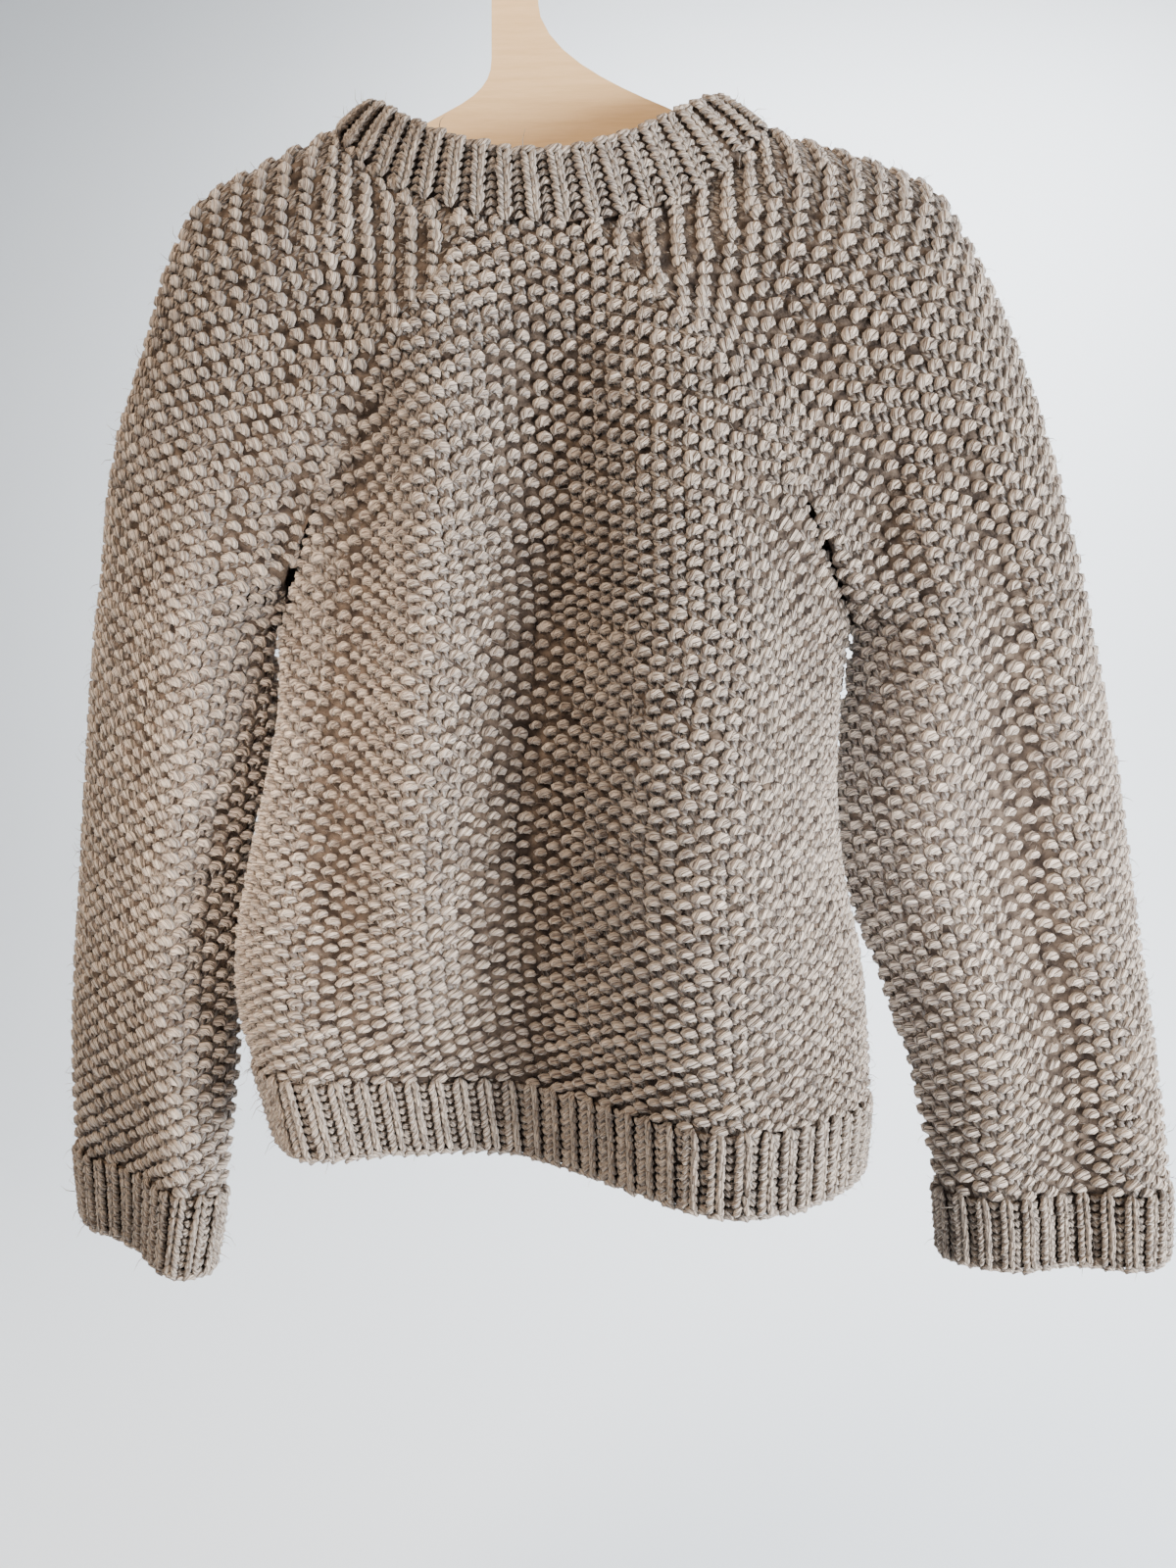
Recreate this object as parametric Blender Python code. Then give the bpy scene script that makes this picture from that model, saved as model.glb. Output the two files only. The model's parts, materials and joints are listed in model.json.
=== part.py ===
"""Chunky alpaca sweater in seed stitch with ribbed edges, hung on a flat plywood hanger.

Metres, +Z up, +X to the viewer's right.  The near side of the sweater faces -Y.
The origin is the point inside the hanger's hook that bears on its peg.
The cloth tables are in millimetres, and MM turns them into metres.
"""
import math
from collections import namedtuple

import bpy
import numpy as np

MM = 0.001

# Cloth
CLOTH_WALL = 6.0
SEAM_GAP = 0.42
NECK_GAP = 0.7
CUFF_GAP = 0.4
SHARP_ANGLE = 65.0
NEAR = -1.0
FAR = 1.0

# Columns of cloth from edge to edge, and rows from edge to edge
PANEL_COLUMNS = 22
SLEEVE_COLUMNS = 11
CROWN_COLUMN = 6
YOKE_ROWS = (0.0, 0.03, 0.08, 0.16, 0.28, 0.41, 0.55, 0.68, 0.80, 0.89, 0.955, 0.988, 1.0)
BODY_ROWS = 9
SLEEVE_ROWS = 10

# Ribs
HEM_RIBS = 66
CUFF_RIBS = 26
NECK_RIBS = 44
RIB_RELIEF = 2.0
RIB_INSET = 0.8
HEM_RIB_HEIGHT = 39.0
NECKBAND_WALL = 7.0
NECKBAND_ROUNDING = 3.5

# Hanger board
BOARD_THICKNESS = 8.0
HOOK_INNER_RADIUS = 20.0
HOOK_BAND = 21.0
HOOK_END_ANGLE = -20.0
SHANK_LEFT = -37.0
SHANK_RIGHT = -11.0
SHANK_FOOT = -84.0
ARM_START = 62.0
ARM_TOP = ((62.0, -117.3), (90.0, -132.0), (116.0, -145.5), (142.0, -152.9), (189.0, -162.0))
ARM_END_SLOPE = 0.2
ARM_END = 189.0
ARM_TIP_DEPTH = 26.0
BOARD_BOTTOM = -172.0

# Neck opening, measured on the cloth's outer side
NECK_CENTRE = -3.0
NECK_HALF_WIDTH = 120.0
NECK_CROWN_HEIGHT = -127.5
NECK_TILT = -0.02
NECK_DROP = {NEAR: 74.5, FAR: 92.5}
NECK_CURVE = 0.675
NECKBAND_TOP_CENTRE = -7.0
NECKBAND_TOP_HALF_WIDTH = 99.0
NECKBAND_TOP_HEIGHT = -114.0
NECKBAND_TOP_DROP = {NEAR: 54.0, FAR: 75.0}
NECKBAND_TOP_BOW = {NEAR: 60.0, FAR: 47.0}

HEM_TILT = -0.055
HEM_TOP = -658.0

Edge = namedtuple("Edge", "height x depth")
Outline = namedtuple("Outline", "x height depth")
Fullness = namedtuple("Fullness", "height near far reach")
Section = namedtuple("Section", "inner_x inner_height inner_depth outer_x outer_height outer_depth")
Fold = namedtuple("Fold", "top bottom top_x bottom_x half_width top_swell middle_swell bottom_swell")

# Body side edges below the armpits, from hem to armpit
BODY_LEFT = (
    Edge(-697.0, -152.0, -20.0),
    Edge(-658.0, -166.0, -18.0),
    Edge(-632.0, -174.5, -16.0),
    Edge(-595.0, -175.6, -15.0),
    Edge(-545.0, -169.6, -13.0),
    Edge(-499.0, -161.6, -10.0),
    Edge(-460.0, -156.6, -6.0),
    Edge(-415.0, -160.0, 0.0),
)
BODY_RIGHT = (
    Edge(-697.0, 168.0, -18.0),
    Edge(-658.0, 172.0, -16.0),
    Edge(-620.0, 171.0, -12.0),
    Edge(-578.0, 165.5, -16.0),
    Edge(-548.0, 158.5, -17.0),
    Edge(-500.0, 154.6, -14.0),
    Edge(-453.0, 158.4, -7.0),
    Edge(-415.0, 166.0, 0.0),
)

# Raglan lines from neck to armpit, as x and height
RAGLAN = {
    ("left", NEAR): ((-42.0, -195.81), (-51.0, -220.0), (-67.0, -243.0), (-88.0, -270.0),
                     (-108.0, -304.0), (-133.0, -355.0), (-160.0, -415.0)),
    ("right", NEAR): ((15.0, -201.2), (41.0, -231.0), (68.0, -261.0), (88.0, -286.0),
                      (111.0, -319.0), (137.0, -362.0), (166.0, -415.0)),
    ("left", FAR): ((-44.0, -211.75), (-63.0, -236.0), (-84.0, -266.0), (-104.0, -300.0),
                    (-122.0, -336.0), (-141.0, -375.0), (-160.0, -415.0)),
    ("right", FAR): ((44.0, -211.11), (64.0, -236.0), (86.0, -266.0), (107.0, -300.0),
                     (127.0, -336.0), (147.0, -375.0), (166.0, -415.0)),
}

# Crown of the shoulder from the neck outwards, where the cloth lies over the hanger
CROWN = {
    "left": ((-123.0, -125.1), (-151.0, -137.0), (-175.0, -148.5), (-196.0, -158.0)),
    "right": ((117.0, -129.9), (147.0, -139.0), (175.0, -148.5), (203.0, -160.0)),
}

# Outer silhouette of the sleeve from the shoulder tip to the armpit's level
SLEEVE_TOP_EDGE = {
    "left": (Outline(-196.0, -158.0, 0.0), Outline(-206.0, -168.0, 2.0), Outline(-223.0, -193.0, 8.0),
             Outline(-245.0, -249.0, 18.0), Outline(-267.0, -312.0, 26.0), Outline(-277.0, -392.0, 30.0)),
    "right": (Outline(203.0, -160.0, 0.0), Outline(216.0, -171.0, 0.0), Outline(229.0, -193.0, 0.0),
              Outline(247.0, -230.0, 0.0), Outline(276.0, -312.0, 0.0), Outline(297.0, -396.0, 0.0)),
}

# Sleeve sections from the armpit to the cuff's edge
SLEEVE_SECTIONS = {
    "left": (
        Section(-160.0, -415.0, 0.0, -277.0, -392.0, 30.0),
        Section(-158.0, -460.0, -6.0, -282.0, -438.0, 31.0),
        Section(-163.0, -499.0, -10.0, -285.0, -485.0, 32.0),
        Section(-171.0, -545.0, -13.0, -288.0, -540.0, 32.0),
        Section(-177.0, -595.0, -15.0, -291.0, -590.0, 32.0),
        Section(-176.0, -650.0, -18.0, -293.0, -645.0, 32.0),
        Section(-180.0, -722.0, -30.0, -292.0, -714.0, 32.0),
        Section(-186.0, -765.0, -34.0, -288.0, -757.0, 32.0),
    ),
    "right": (
        Section(166.0, -415.0, 0.0, 297.0, -396.0, 0.0),
        Section(160.0, -453.0, 1.0, 304.0, -440.0, 0.0),
        Section(156.0, -500.0, 4.0, 313.0, -492.0, 0.0),
        Section(161.0, -552.0, 2.0, 320.0, -548.0, 0.0),
        Section(181.0, -611.0, -8.0, 328.0, -607.0, 0.0),
        Section(196.0, -662.0, -14.0, 335.0, -662.0, 0.0),
        Section(208.0, -720.0, -16.0, 341.0, -720.0, -2.0),
        Section(211.0, -757.0, -16.0, 340.0, -761.0, -2.0),
    ),
}
CUFF_SEAM_ROW = 6
CUFF_END_ROW = 7
CUFF_HEIGHT = 43.0

# How far the two layers swell from the plane of the hanger, and how far in from
# a folded edge they reach that swell
BODY_FULLNESS = (
    Fullness(-700.0, 46.0, 30.0, 44.0),
    Fullness(-658.0, 52.0, 33.0, 48.0),
    Fullness(-610.0, 66.0, 38.0, 56.0),
    Fullness(-514.0, 72.0, 36.0, 66.0),
    Fullness(-400.0, 66.0, 34.0, 70.0),
    Fullness(-300.0, 60.0, 38.0, 70.0),
    Fullness(-203.0, 55.0, 44.0, 70.0),
    Fullness(-120.0, 50.0, 40.0, 70.0),
)
SLEEVE_FULLNESS = (
    Fullness(-765.0, 24.0, 22.0, 52.0),
    Fullness(-720.0, 26.0, 23.0, 56.0),
    Fullness(-680.0, 36.0, 26.0, 64.0),
    Fullness(-560.0, 40.0, 26.0, 72.0),
    Fullness(-413.0, 42.0, 28.0, 72.0),
    Fullness(-300.0, 46.0, 32.0, 72.0),
    Fullness(-120.0, 46.0, 34.0, 72.0),
)
YOKE_EDGE_REACH = 72.0
CROWN_REACH = 104.0
CREASE_REACH = 70.0
RAGLAN_BLEND = 60.0
CREASE_START = -285.0
ARMPIT_HEIGHT = -415.0
BODY_BLEND_END = -480.0

FOLD_FADE = 60.0

# Crease above each armpit, as height and x
CREASE = {
    "left": ((-285.0, -118.0), (-350.0, -143.0), (-415.0, -160.0)),
    "right": ((-285.0, 190.0), (-350.0, 180.0), (-415.0, 166.0)),
}

# Vertical folds of the body; a positive swell stands out, a negative one is a trough
BODY_FOLDS = {
    NEAR: (
        Fold(-215.0, -640.0, -50.0, -66.0, 32.0, 4.0, 20.0, 4.0),
        Fold(-270.0, -640.0, -102.0, -116.0, 26.0, -12.0, -20.0, 0.0),
        Fold(-250.0, -720.0, -2.0, -20.0, 36.0, -8.0, -22.0, -8.0),
        Fold(-540.0, -700.0, -40.0, -50.0, 44.0, 0.0, -6.0, -16.0),
        Fold(-225.0, -700.0, 58.0, 88.0, 56.0, 8.0, 36.0, 56.0),
        Fold(-540.0, -700.0, -128.0, -126.0, 30.0, 0.0, 8.0, 18.0),
    ),
    FAR: (
        Fold(-240.0, -720.0, -70.0, -84.0, 38.0, 4.0, 10.0, 16.0),
        Fold(-260.0, -720.0, 0.0, 8.0, 34.0, -5.0, -10.0, -14.0),
        Fold(-240.0, -720.0, 70.0, 88.0, 40.0, 4.0, 12.0, 18.0),
    ),
}

# Folds that run down a sleeve; their places across it go from 0, inside, to 1, outside
SLEEVE_FOLDS = {
    ("left", NEAR): (
        Fold(-250.0, -760.0, 0.40, 0.14, 0.20, 4.0, 15.0, 12.0),
        Fold(-600.0, -760.0, 0.55, 0.55, 0.26, 0.0, -6.0, -10.0),
    ),
    ("right", NEAR): (
        Fold(-300.0, -760.0, 0.34, 0.20, 0.16, 5.0, 10.0, 4.0),
        Fold(-300.0, -760.0, 0.62, 0.54, 0.14, -4.0, -13.0, -6.0),
        Fold(-400.0, -760.0, 0.88, 0.84, 0.14, 2.0, 9.0, 6.0),
    ),
    ("left", FAR): (
        Fold(-300.0, -760.0, 0.35, 0.40, 0.22, 3.0, 7.0, 3.0),
        Fold(-300.0, -760.0, 0.70, 0.70, 0.16, -2.0, -5.0, -2.0),
    ),
    ("right", FAR): (
        Fold(-300.0, -760.0, 0.30, 0.35, 0.20, 3.0, 7.0, 3.0),
        Fold(-300.0, -760.0, 0.65, 0.62, 0.18, -3.0, -6.0, -2.0),
    ),
}

# Shifts of the pieces that meet at an armpit, in gaps: towards the middle, then in depth
ARMPIT_PULL = {
    "panel_near": np.array([1.3, -0.5, 0.0]),
    "panel_far": np.array([1.3, 0.5, 0.0]),
    "sleeve_left": np.array([-1.0, 0.0, 0.0]),
    "sleeve_right": np.array([-1.0, 0.0, 0.0]),
}

# Colour, roughness and metallic value
YARN = ((0.52, 0.44, 0.37, 1.0), 0.95, 0.0)
YARN_RIB = ((0.49, 0.41, 0.345, 1.0), 0.95, 0.0)
BIRCH = ((0.80, 0.66, 0.47, 1.0), 0.55, 0.0)


def remove_all_objects():
    for scene_object in list(bpy.data.objects):
        bpy.data.objects.remove(scene_object, do_unlink=True)


def smooth_step(value):
    value = np.clip(value, 0.0, 1.0)
    return value * value * (3.0 - 2.0 * value)


def rise(distance, reach):
    """Quarter-ellipse rise from a folded edge: 0 at the edge, 1 from the reach on."""
    left_over = 1.0 - np.clip(np.asarray(distance, dtype=float) / reach, 0.0, 1.0)
    return np.sqrt(np.maximum(0.0, 1.0 - left_over * left_over))


def curve_through(stations, values, at):
    """Smooth curve through rows of values at rising or falling stations."""
    stations = np.asarray(stations, dtype=float)
    values = np.asarray(values, dtype=float)
    if stations[0] > stations[-1]:
        stations = stations[::-1]
        values = values[::-1]
    at = np.clip(np.asarray(at, dtype=float), stations[0], stations[-1])
    slopes = np.gradient(values, stations)
    index = np.clip(np.searchsorted(stations, at, side="right") - 1, 0, len(stations) - 2)
    span = stations[index + 1] - stations[index]
    t = (at - stations[index]) / span
    t2 = t * t
    t3 = t2 * t
    start = (2.0 * t3 - 3.0 * t2 + 1.0) * values[index] + (t3 - 2.0 * t2 + t) * span * slopes[index]
    end = (3.0 * t2 - 2.0 * t3) * values[index + 1] + (t3 - t2) * span * slopes[index + 1]
    return start + end


def column(rows, name):
    return [getattr(row, name) for row in rows]


def from_rows(rows, name, height):
    return curve_through(column(rows, "height"), column(rows, name), height)


def along(points, fractions):
    """Points on a smooth line through the given points, by fraction of its length."""
    points = np.asarray(points, dtype=float)
    steps = np.linalg.norm(np.diff(points, axis=0), axis=1)
    stations = np.concatenate(([0.0], np.cumsum(steps)))
    at = np.asarray(fractions, dtype=float) * stations[-1]
    return np.stack([curve_through(stations, points[:, axis], at) for axis in range(points.shape[1])], axis=-1)


def neck_seam_height(x, side):
    """Height of the neck seam, which dips between the two crowns."""
    across = (x - NECK_CENTRE) / NECK_HALF_WIDTH
    inside = np.maximum(0.0, 1.0 - across ** 2)
    return NECK_CROWN_HEIGHT + NECK_TILT * NECK_HALF_WIDTH * across - NECK_DROP[side] * inside ** NECK_CURVE


def fold_swell(folds, x, height):
    """Sum of the folds' swells at a place across the cloth and a height."""
    total = np.zeros_like(x)
    for fold in folds:
        down = np.clip((fold.top - height) / (fold.top - fold.bottom), 0.0, 1.0)
        centre = fold.top_x + (fold.bottom_x - fold.top_x) * down
        bend = fold.middle_swell - 0.5 * (fold.top_swell + fold.bottom_swell)
        swell = fold.top_swell + (fold.bottom_swell - fold.top_swell) * down + 4.0 * bend * down * (1.0 - down)
        fade = smooth_step((fold.top - height) / FOLD_FADE + 0.4)
        total += swell * fade * np.exp(-((x - centre) / fold.half_width) ** 2)
    return total


def raglan_x(hand, side, height):
    points = RAGLAN[(hand, side)]
    return curve_through([point[1] for point in points], [point[0] for point in points], height)


def crown_clearance(x, height):
    """Distance down from the line of the shoulders, level between the crowns."""
    left = CROWN["left"]
    right = CROWN["right"]
    stations = [point[0] for point in left[::-1]] + [point[0] for point in right]
    heights = [point[1] for point in left[::-1]] + [point[1] for point in right]
    return np.maximum(0.0, np.interp(x, stations, heights) - height)


def outer_clearance(hand, x, height):
    """Distance in from the sleeve's outer silhouette."""
    rows = list(SLEEVE_TOP_EDGE[hand]) + [
        Outline(row.outer_x, row.outer_height, row.outer_depth) for row in SLEEVE_SECTIONS[hand][1:]]
    edge = curve_through(column(rows, "height"), column(rows, "x"), height)
    return np.maximum(0.0, np.abs(edge) - np.abs(x))


def crease_factor(hand, x, height):
    """1 on smooth cloth, falling to 0 at the armpit as the crease deepens towards it."""
    points = CREASE[hand]
    centre = curve_through([point[0] for point in points], [point[1] for point in points], height)
    deepening = smooth_step((CREASE_START - height) / (CREASE_START - ARMPIT_HEIGHT))
    distance = np.abs(x - centre)
    shallow = np.maximum(0.0, 1.0 - distance / CREASE_REACH) ** 2
    folded = 1.0 - rise(distance, CREASE_REACH)
    return 1.0 - deepening * (shallow + (folded - shallow) * deepening ** 2)


def fullness(rows, side, height):
    return from_rows(rows, "near" if side == NEAR else "far", height)


def joined_rise(first, second):
    """Two rises in one: each alone where the other is full, and 0 where either is 0."""
    first = np.maximum(first, 1e-6)
    second = np.maximum(second, 1e-6)
    return (first ** -3.0 + second ** -3.0 - 1.0) ** (-1.0 / 3.0)


def edge_rise(rows, from_start, from_end, height):
    """Rise from both folded edges of a tube towards its middle."""
    reach = from_rows(rows, "reach", height)
    return rise(from_start / reach, 1.0) * rise(from_end / reach, 1.0)


def yoke_depth(side, x, height):
    """Depth of the yoke, shared by the panels and the tops of the sleeves."""
    body = fullness(BODY_FULLNESS, side, height)
    sleeve = fullness(SLEEVE_FULLNESS, side, height)
    share = np.zeros_like(x)
    crease = np.ones_like(x)
    low = smooth_step((-330.0 - height) / (-330.0 - ARMPIT_HEIGHT))
    for hand, sign in (("left", -1.0), ("right", 1.0)):
        beyond = sign * (x - raglan_x(hand, side, height))
        outside = low + (1.0 - low) * smooth_step(beyond / RAGLAN_BLEND)
        inside = low * (1.0 - smooth_step(-beyond / RAGLAN_BLEND))
        share += np.where(beyond > 0.0, outside, inside)
        crease *= crease_factor(hand, x, height)
    full = body + (sleeve - body) * np.clip(share, 0.0, 1.0)
    edge = rise(crown_clearance(x, height), CROWN_REACH)
    hand_clearance = np.where(x < 0.0, outer_clearance("left", x, height), outer_clearance("right", x, height))
    edge = joined_rise(edge, rise(hand_clearance, YOKE_EDGE_REACH))
    folds = fold_swell(BODY_FOLDS[side], x, height) * (1.0 - np.clip(share, 0.0, 1.0))
    return side * (full + folds) * edge * crease


def body_depth(side, u, x, height):
    """Depth of the body below the armpits, with its folded side edges."""
    left = from_rows(BODY_LEFT, "x", height)
    right = from_rows(BODY_RIGHT, "x", height)
    middle = (1.0 - u) * from_rows(BODY_LEFT, "depth", height) + u * from_rows(BODY_RIGHT, "depth", height)
    full = fullness(BODY_FULLNESS, side, height)
    low = smooth_step((height - BODY_BLEND_END) / (ARMPIT_HEIGHT - BODY_BLEND_END))
    edge_distance = np.minimum(x - left, right - x)
    share = low * (1.0 - smooth_step(edge_distance / RAGLAN_BLEND))
    full = full + (fullness(SLEEVE_FULLNESS, side, height) - full) * share
    swell = full + fold_swell(BODY_FOLDS[side], x, height) * (1.0 - share)
    return middle + side * swell * edge_rise(BODY_FULLNESS, x - left, right - x, height)


def sleeve_values(hand, row):
    """Section of a sleeve at a row number that may lie between two table rows."""
    rows = SLEEVE_SECTIONS[hand]
    return Section(*[float(curve_through(range(len(rows)), column(rows, name), row)) for name in Section._fields])


def sleeve_point(hand, side, u, row):
    """Point on a sleeve below the armpit, at u across and a row down the table."""
    section = sleeve_values(hand, row)
    x = section.inner_x + (section.outer_x - section.inner_x) * u
    height = section.inner_height + (section.outer_height - section.inner_height) * u
    middle = section.inner_depth + (section.outer_depth - section.inner_depth) * u
    width = abs(section.outer_x - section.inner_x)
    swell = fullness(SLEEVE_FULLNESS, side, height)
    swell = swell + fold_swell(SLEEVE_FOLDS[(hand, side)], u, height)
    depth = middle + side * swell * edge_rise(SLEEVE_FULLNESS, u * width, (1.0 - u) * width, height)
    return np.stack([x, depth, height], axis=-1)


def body_point(side, u, height):
    """Point on the body below the armpit, at u across and a height at the middle."""
    tilt = HEM_TILT * smooth_step((-480.0 - height) / 170.0)
    left = from_rows(BODY_LEFT, "x", height)
    right = from_rows(BODY_RIGHT, "x", height)
    x = left + (right - left) * u
    return np.stack([x, body_depth(side, u, x, np.full_like(x, height)), height + tilt * x], axis=-1)


def clustered(count, share=1.0):
    """Fractions from 0 to 1, closer together at both ends, where the cloth folds."""
    even = np.arange(count + 1) / count
    return even + share * (0.5 - 0.5 * np.cos(np.pi * even) - even)


def raglan_points(hand, side, fractions_up):
    """Points up a raglan line from the armpit to the neck."""
    line = along(RAGLAN[(hand, side)][::-1], fractions_up)
    return line


def panel_grid(side):
    """Grid of the near or far panel: rows from hem to neck, columns from left to right."""
    u = clustered(PANEL_COLUMNS, 0.8)
    rows = []
    for height in np.linspace(HEM_TOP, ARMPIT_HEIGHT, BODY_ROWS, endpoint=False):
        rows.append(body_point(side, u, height))
    left_line = raglan_points("left", side, YOKE_ROWS)
    right_line = raglan_points("right", side, YOKE_ROWS)
    for fraction, left, right in zip(YOKE_ROWS, left_line, right_line):
        x = left[0] + (right[0] - left[0]) * u
        straight = left[1] + (right[1] - left[1]) * u
        seam = neck_seam_height(x, side)
        seam_line = seam[0] + (seam[-1] - seam[0]) * u
        height = straight + (seam - seam_line) * fraction
        rows.append(np.stack([x, yoke_depth(side, x, height), height], axis=-1))
    grid = np.array(rows)
    seat_neck_row(grid, side)
    return grid


def seat_neck_row(grid, side):
    """Put the last row exactly on the neck seam."""
    x = grid[-1, :, 0]
    height = neck_seam_height(x, side)
    grid[-1, :, 2] = height
    grid[-1, :, 1] = yoke_depth(side, x, height)


def sleeve_top_row(hand, side, u):
    """Top row of a sleeve: the neck seam as far as the crown, then the crown line."""
    split = u[CROWN_COLUMN]
    start = RAGLAN[(hand, side)][0][0]
    end = CROWN[hand][0][0]
    ease = np.sin(0.5 * np.pi * np.minimum(u / split, 1.0))
    neck_x = start + (end - start) * ease
    neck = np.stack([neck_x, neck_seam_height(neck_x, side)], axis=-1)
    crown = along(CROWN[hand], np.clip((u - split) / (1.0 - split), 0.0, 1.0))
    return np.where((u <= split)[:, None], neck, crown)


def sleeve_grid(hand, side):
    """Grid of half a sleeve: rows from cuff seam to neck, columns from inside to outside."""
    u = clustered(SLEEVE_COLUMNS)
    rows = [sleeve_point(hand, side, u, row)
            for row in np.linspace(CUFF_SEAM_ROW, 0, SLEEVE_ROWS, endpoint=False)]
    inner = raglan_points(hand, side, YOKE_ROWS)
    edge_rows = SLEEVE_TOP_EDGE[hand][::-1]
    edge = along([(row.x, row.height, row.depth) for row in edge_rows], YOKE_ROWS)
    top = sleeve_top_row(hand, side, u)
    armpit = sleeve_point(hand, side, u, 0.0)
    bottom = armpit[:, (0, 2)]
    for fraction, start, end in zip(YOKE_ROWS, inner, edge):
        across = start + (end[:2] - start) * u[:, None]
        level = bottom + (top - bottom) * fraction
        corner_start = bottom[0] + (top[0] - bottom[0]) * fraction
        corner_end = bottom[-1] + (top[-1] - bottom[-1]) * fraction
        corners = corner_start + (corner_end - corner_start) * u[:, None]
        flat = across + level - corners
        x = flat[:, 0]
        height = flat[:, 1]
        depth = yoke_depth(side, x, height)
        lean = end[2] * u * smooth_step((1.0 - fraction) * 6.0)
        section = armpit[:, 1]
        low = smooth_step(1.0 - fraction / 0.45)
        share = low * (low + (1.0 - low) * smooth_step(u / 0.4))
        depth = (depth + lean) * (1.0 - share) + section * share
        rows.append(np.stack([x, depth, height], axis=-1))
    grid = np.array(rows)
    join_sleeve_edges(grid, hand, side, inner, edge)
    return grid


def join_sleeve_edges(grid, hand, side, inner, edge):
    """Put the sleeve's borders exactly on the raglan line, the outer fold and the crown."""
    first = SLEEVE_ROWS
    for index, fraction in enumerate(YOKE_ROWS):
        x = np.array([inner[index, 0]])
        height = np.array([inner[index, 1]])
        grid[first + index, 0] = (x[0], yoke_depth(side, x, height)[0], height[0])
        lean = edge[index, 2] * smooth_step((1.0 - fraction) * 6.0)
        grid[first + index, -1] = (edge[index, 0], lean, edge[index, 1])
    grid[-1, 0, 2] = neck_seam_height(grid[-1, 0, 0], side)
    grid[-1, 0, 1] = yoke_depth(side, grid[-1, 0:1, 0], grid[-1, 0:1, 2])[0]
    grid[-1, CROWN_COLUMN:, 1] = 0.0


def armpit_point(hand):
    section = SLEEVE_SECTIONS[hand][0]
    return np.array([section.inner_x, 0.0, section.inner_height])


def key_of(point):
    return tuple(np.round(point, 3))


def grid_faces(grid):
    """Quads of a grid, turned so that they face away from the plane of the hanger."""
    rows, columns = grid.shape[:2]
    quads = [((r, c), (r, c + 1), (r + 1, c + 1), (r + 1, c))
             for r in range(rows - 1) for c in range(columns - 1)]
    return quads


def quad_normal(corners):
    return np.cross(corners[2] - corners[0], corners[3] - corners[1])


class Cloth:
    """One piece of cloth: one or two grids of outer points, welded where they share points."""

    def __init__(self, name, grids, sides, seams):
        self.name = name
        self.points = []
        self.index = {}
        self.faces = []
        self.pulls = {}
        for grid, side, open_edges in zip(grids, sides, seams):
            self.add_grid(grid, side, open_edges)

    def vertex(self, point):
        key = key_of(point)
        if key not in self.index:
            self.index[key] = len(self.points)
            self.points.append(np.array(point, dtype=float))
        return self.index[key]

    def add_grid(self, grid, side, open_edges):
        numbers = {(r, c): self.vertex(grid[r, c]) for r in range(grid.shape[0]) for c in range(grid.shape[1])}
        quads = grid_faces(grid)
        total = sum(quad_normal([grid[corner] for corner in quad])[1] for quad in quads)
        for quad in quads:
            face = [numbers[corner] for corner in quad]
            if total * side < 0.0:
                face = face[::-1]
            tidy = [number for place, number in enumerate(face) if number != face[place - 1]]
            if len(tidy) >= 3:
                self.faces.append(tidy)
        for places, step in open_edges:
            line = np.array([grid[place] for place in places])
            tangents = np.gradient(line, axis=0)
            for (r, c), tangent in zip(places, tangents):
                toward = grid[r + step[0], c + step[1]] - grid[r, c]
                self.pulls.setdefault(numbers[(r, c)], []).append((tangent, toward))

    def face_normals(self):
        for face in self.faces:
            corners = [self.points[number] for number in face]
            normal = np.zeros(3)
            for place in range(1, len(corners) - 1):
                normal += np.cross(corners[place] - corners[0], corners[place + 1] - corners[0])
            yield face, normal


def shared_normals(pieces):
    """Outward direction at each point, averaged over every piece that meets there."""
    totals = {}
    for piece in pieces:
        for face, normal in piece.face_normals():
            for number in face:
                key = key_of(piece.points[number])
                totals[key] = totals.get(key, np.zeros(3)) + normal
    for hand in ("left", "right"):
        totals[key_of(armpit_point(hand))] = np.array([0.0, 0.0, -1.0])
    return {key: total / max(np.linalg.norm(total), 1e-9) for key, total in totals.items()}


def make_material(name, finish):
    colour, roughness, metallic = finish
    material = bpy.data.materials.new(name)
    material.use_nodes = True
    shader = material.node_tree.nodes["Principled BSDF"]
    shader.inputs["Base Color"].default_value = colour
    shader.inputs["Roughness"].default_value = roughness
    shader.inputs["Metallic"].default_value = metallic
    return material


def make_object(name, points, faces, finish):
    mesh = bpy.data.meshes.new(name)
    mesh.from_pydata([tuple(point * MM) for point in np.asarray(points)], [], faces)
    mesh.validate()
    mesh.shade_smooth()
    mesh.set_sharp_from_angle(angle=math.radians(SHARP_ANGLE))
    mesh.materials.append(make_material(name, finish))
    piece = bpy.data.objects.new(name, mesh)
    bpy.context.scene.collection.objects.link(piece)
    return piece


def square_to(normal, tangent, toward):
    """Unit direction in the cloth, square to a seam, on the side that the toward vector points."""
    across = np.cross(normal, tangent)
    across /= max(np.linalg.norm(across), 1e-9)
    return across if np.dot(across, toward) > 0.0 else -across


def seam_pull(piece, number, normal):
    """Shift of a border point into its own piece, which leaves the gap of each seam it is on."""
    point = piece.points[number]
    for hand, inward in (("left", 1.0), ("right", -1.0)):
        if key_of(point) == key_of(armpit_point(hand)):
            return ARMPIT_PULL[piece.name] * np.array([inward, 1.0, 1.0]) * SEAM_GAP
    pulls = [square_to(normal, tangent, toward) for tangent, toward in piece.pulls.get(number, [])]
    return sum(pulls, np.zeros(3)) * SEAM_GAP * 0.5


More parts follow.
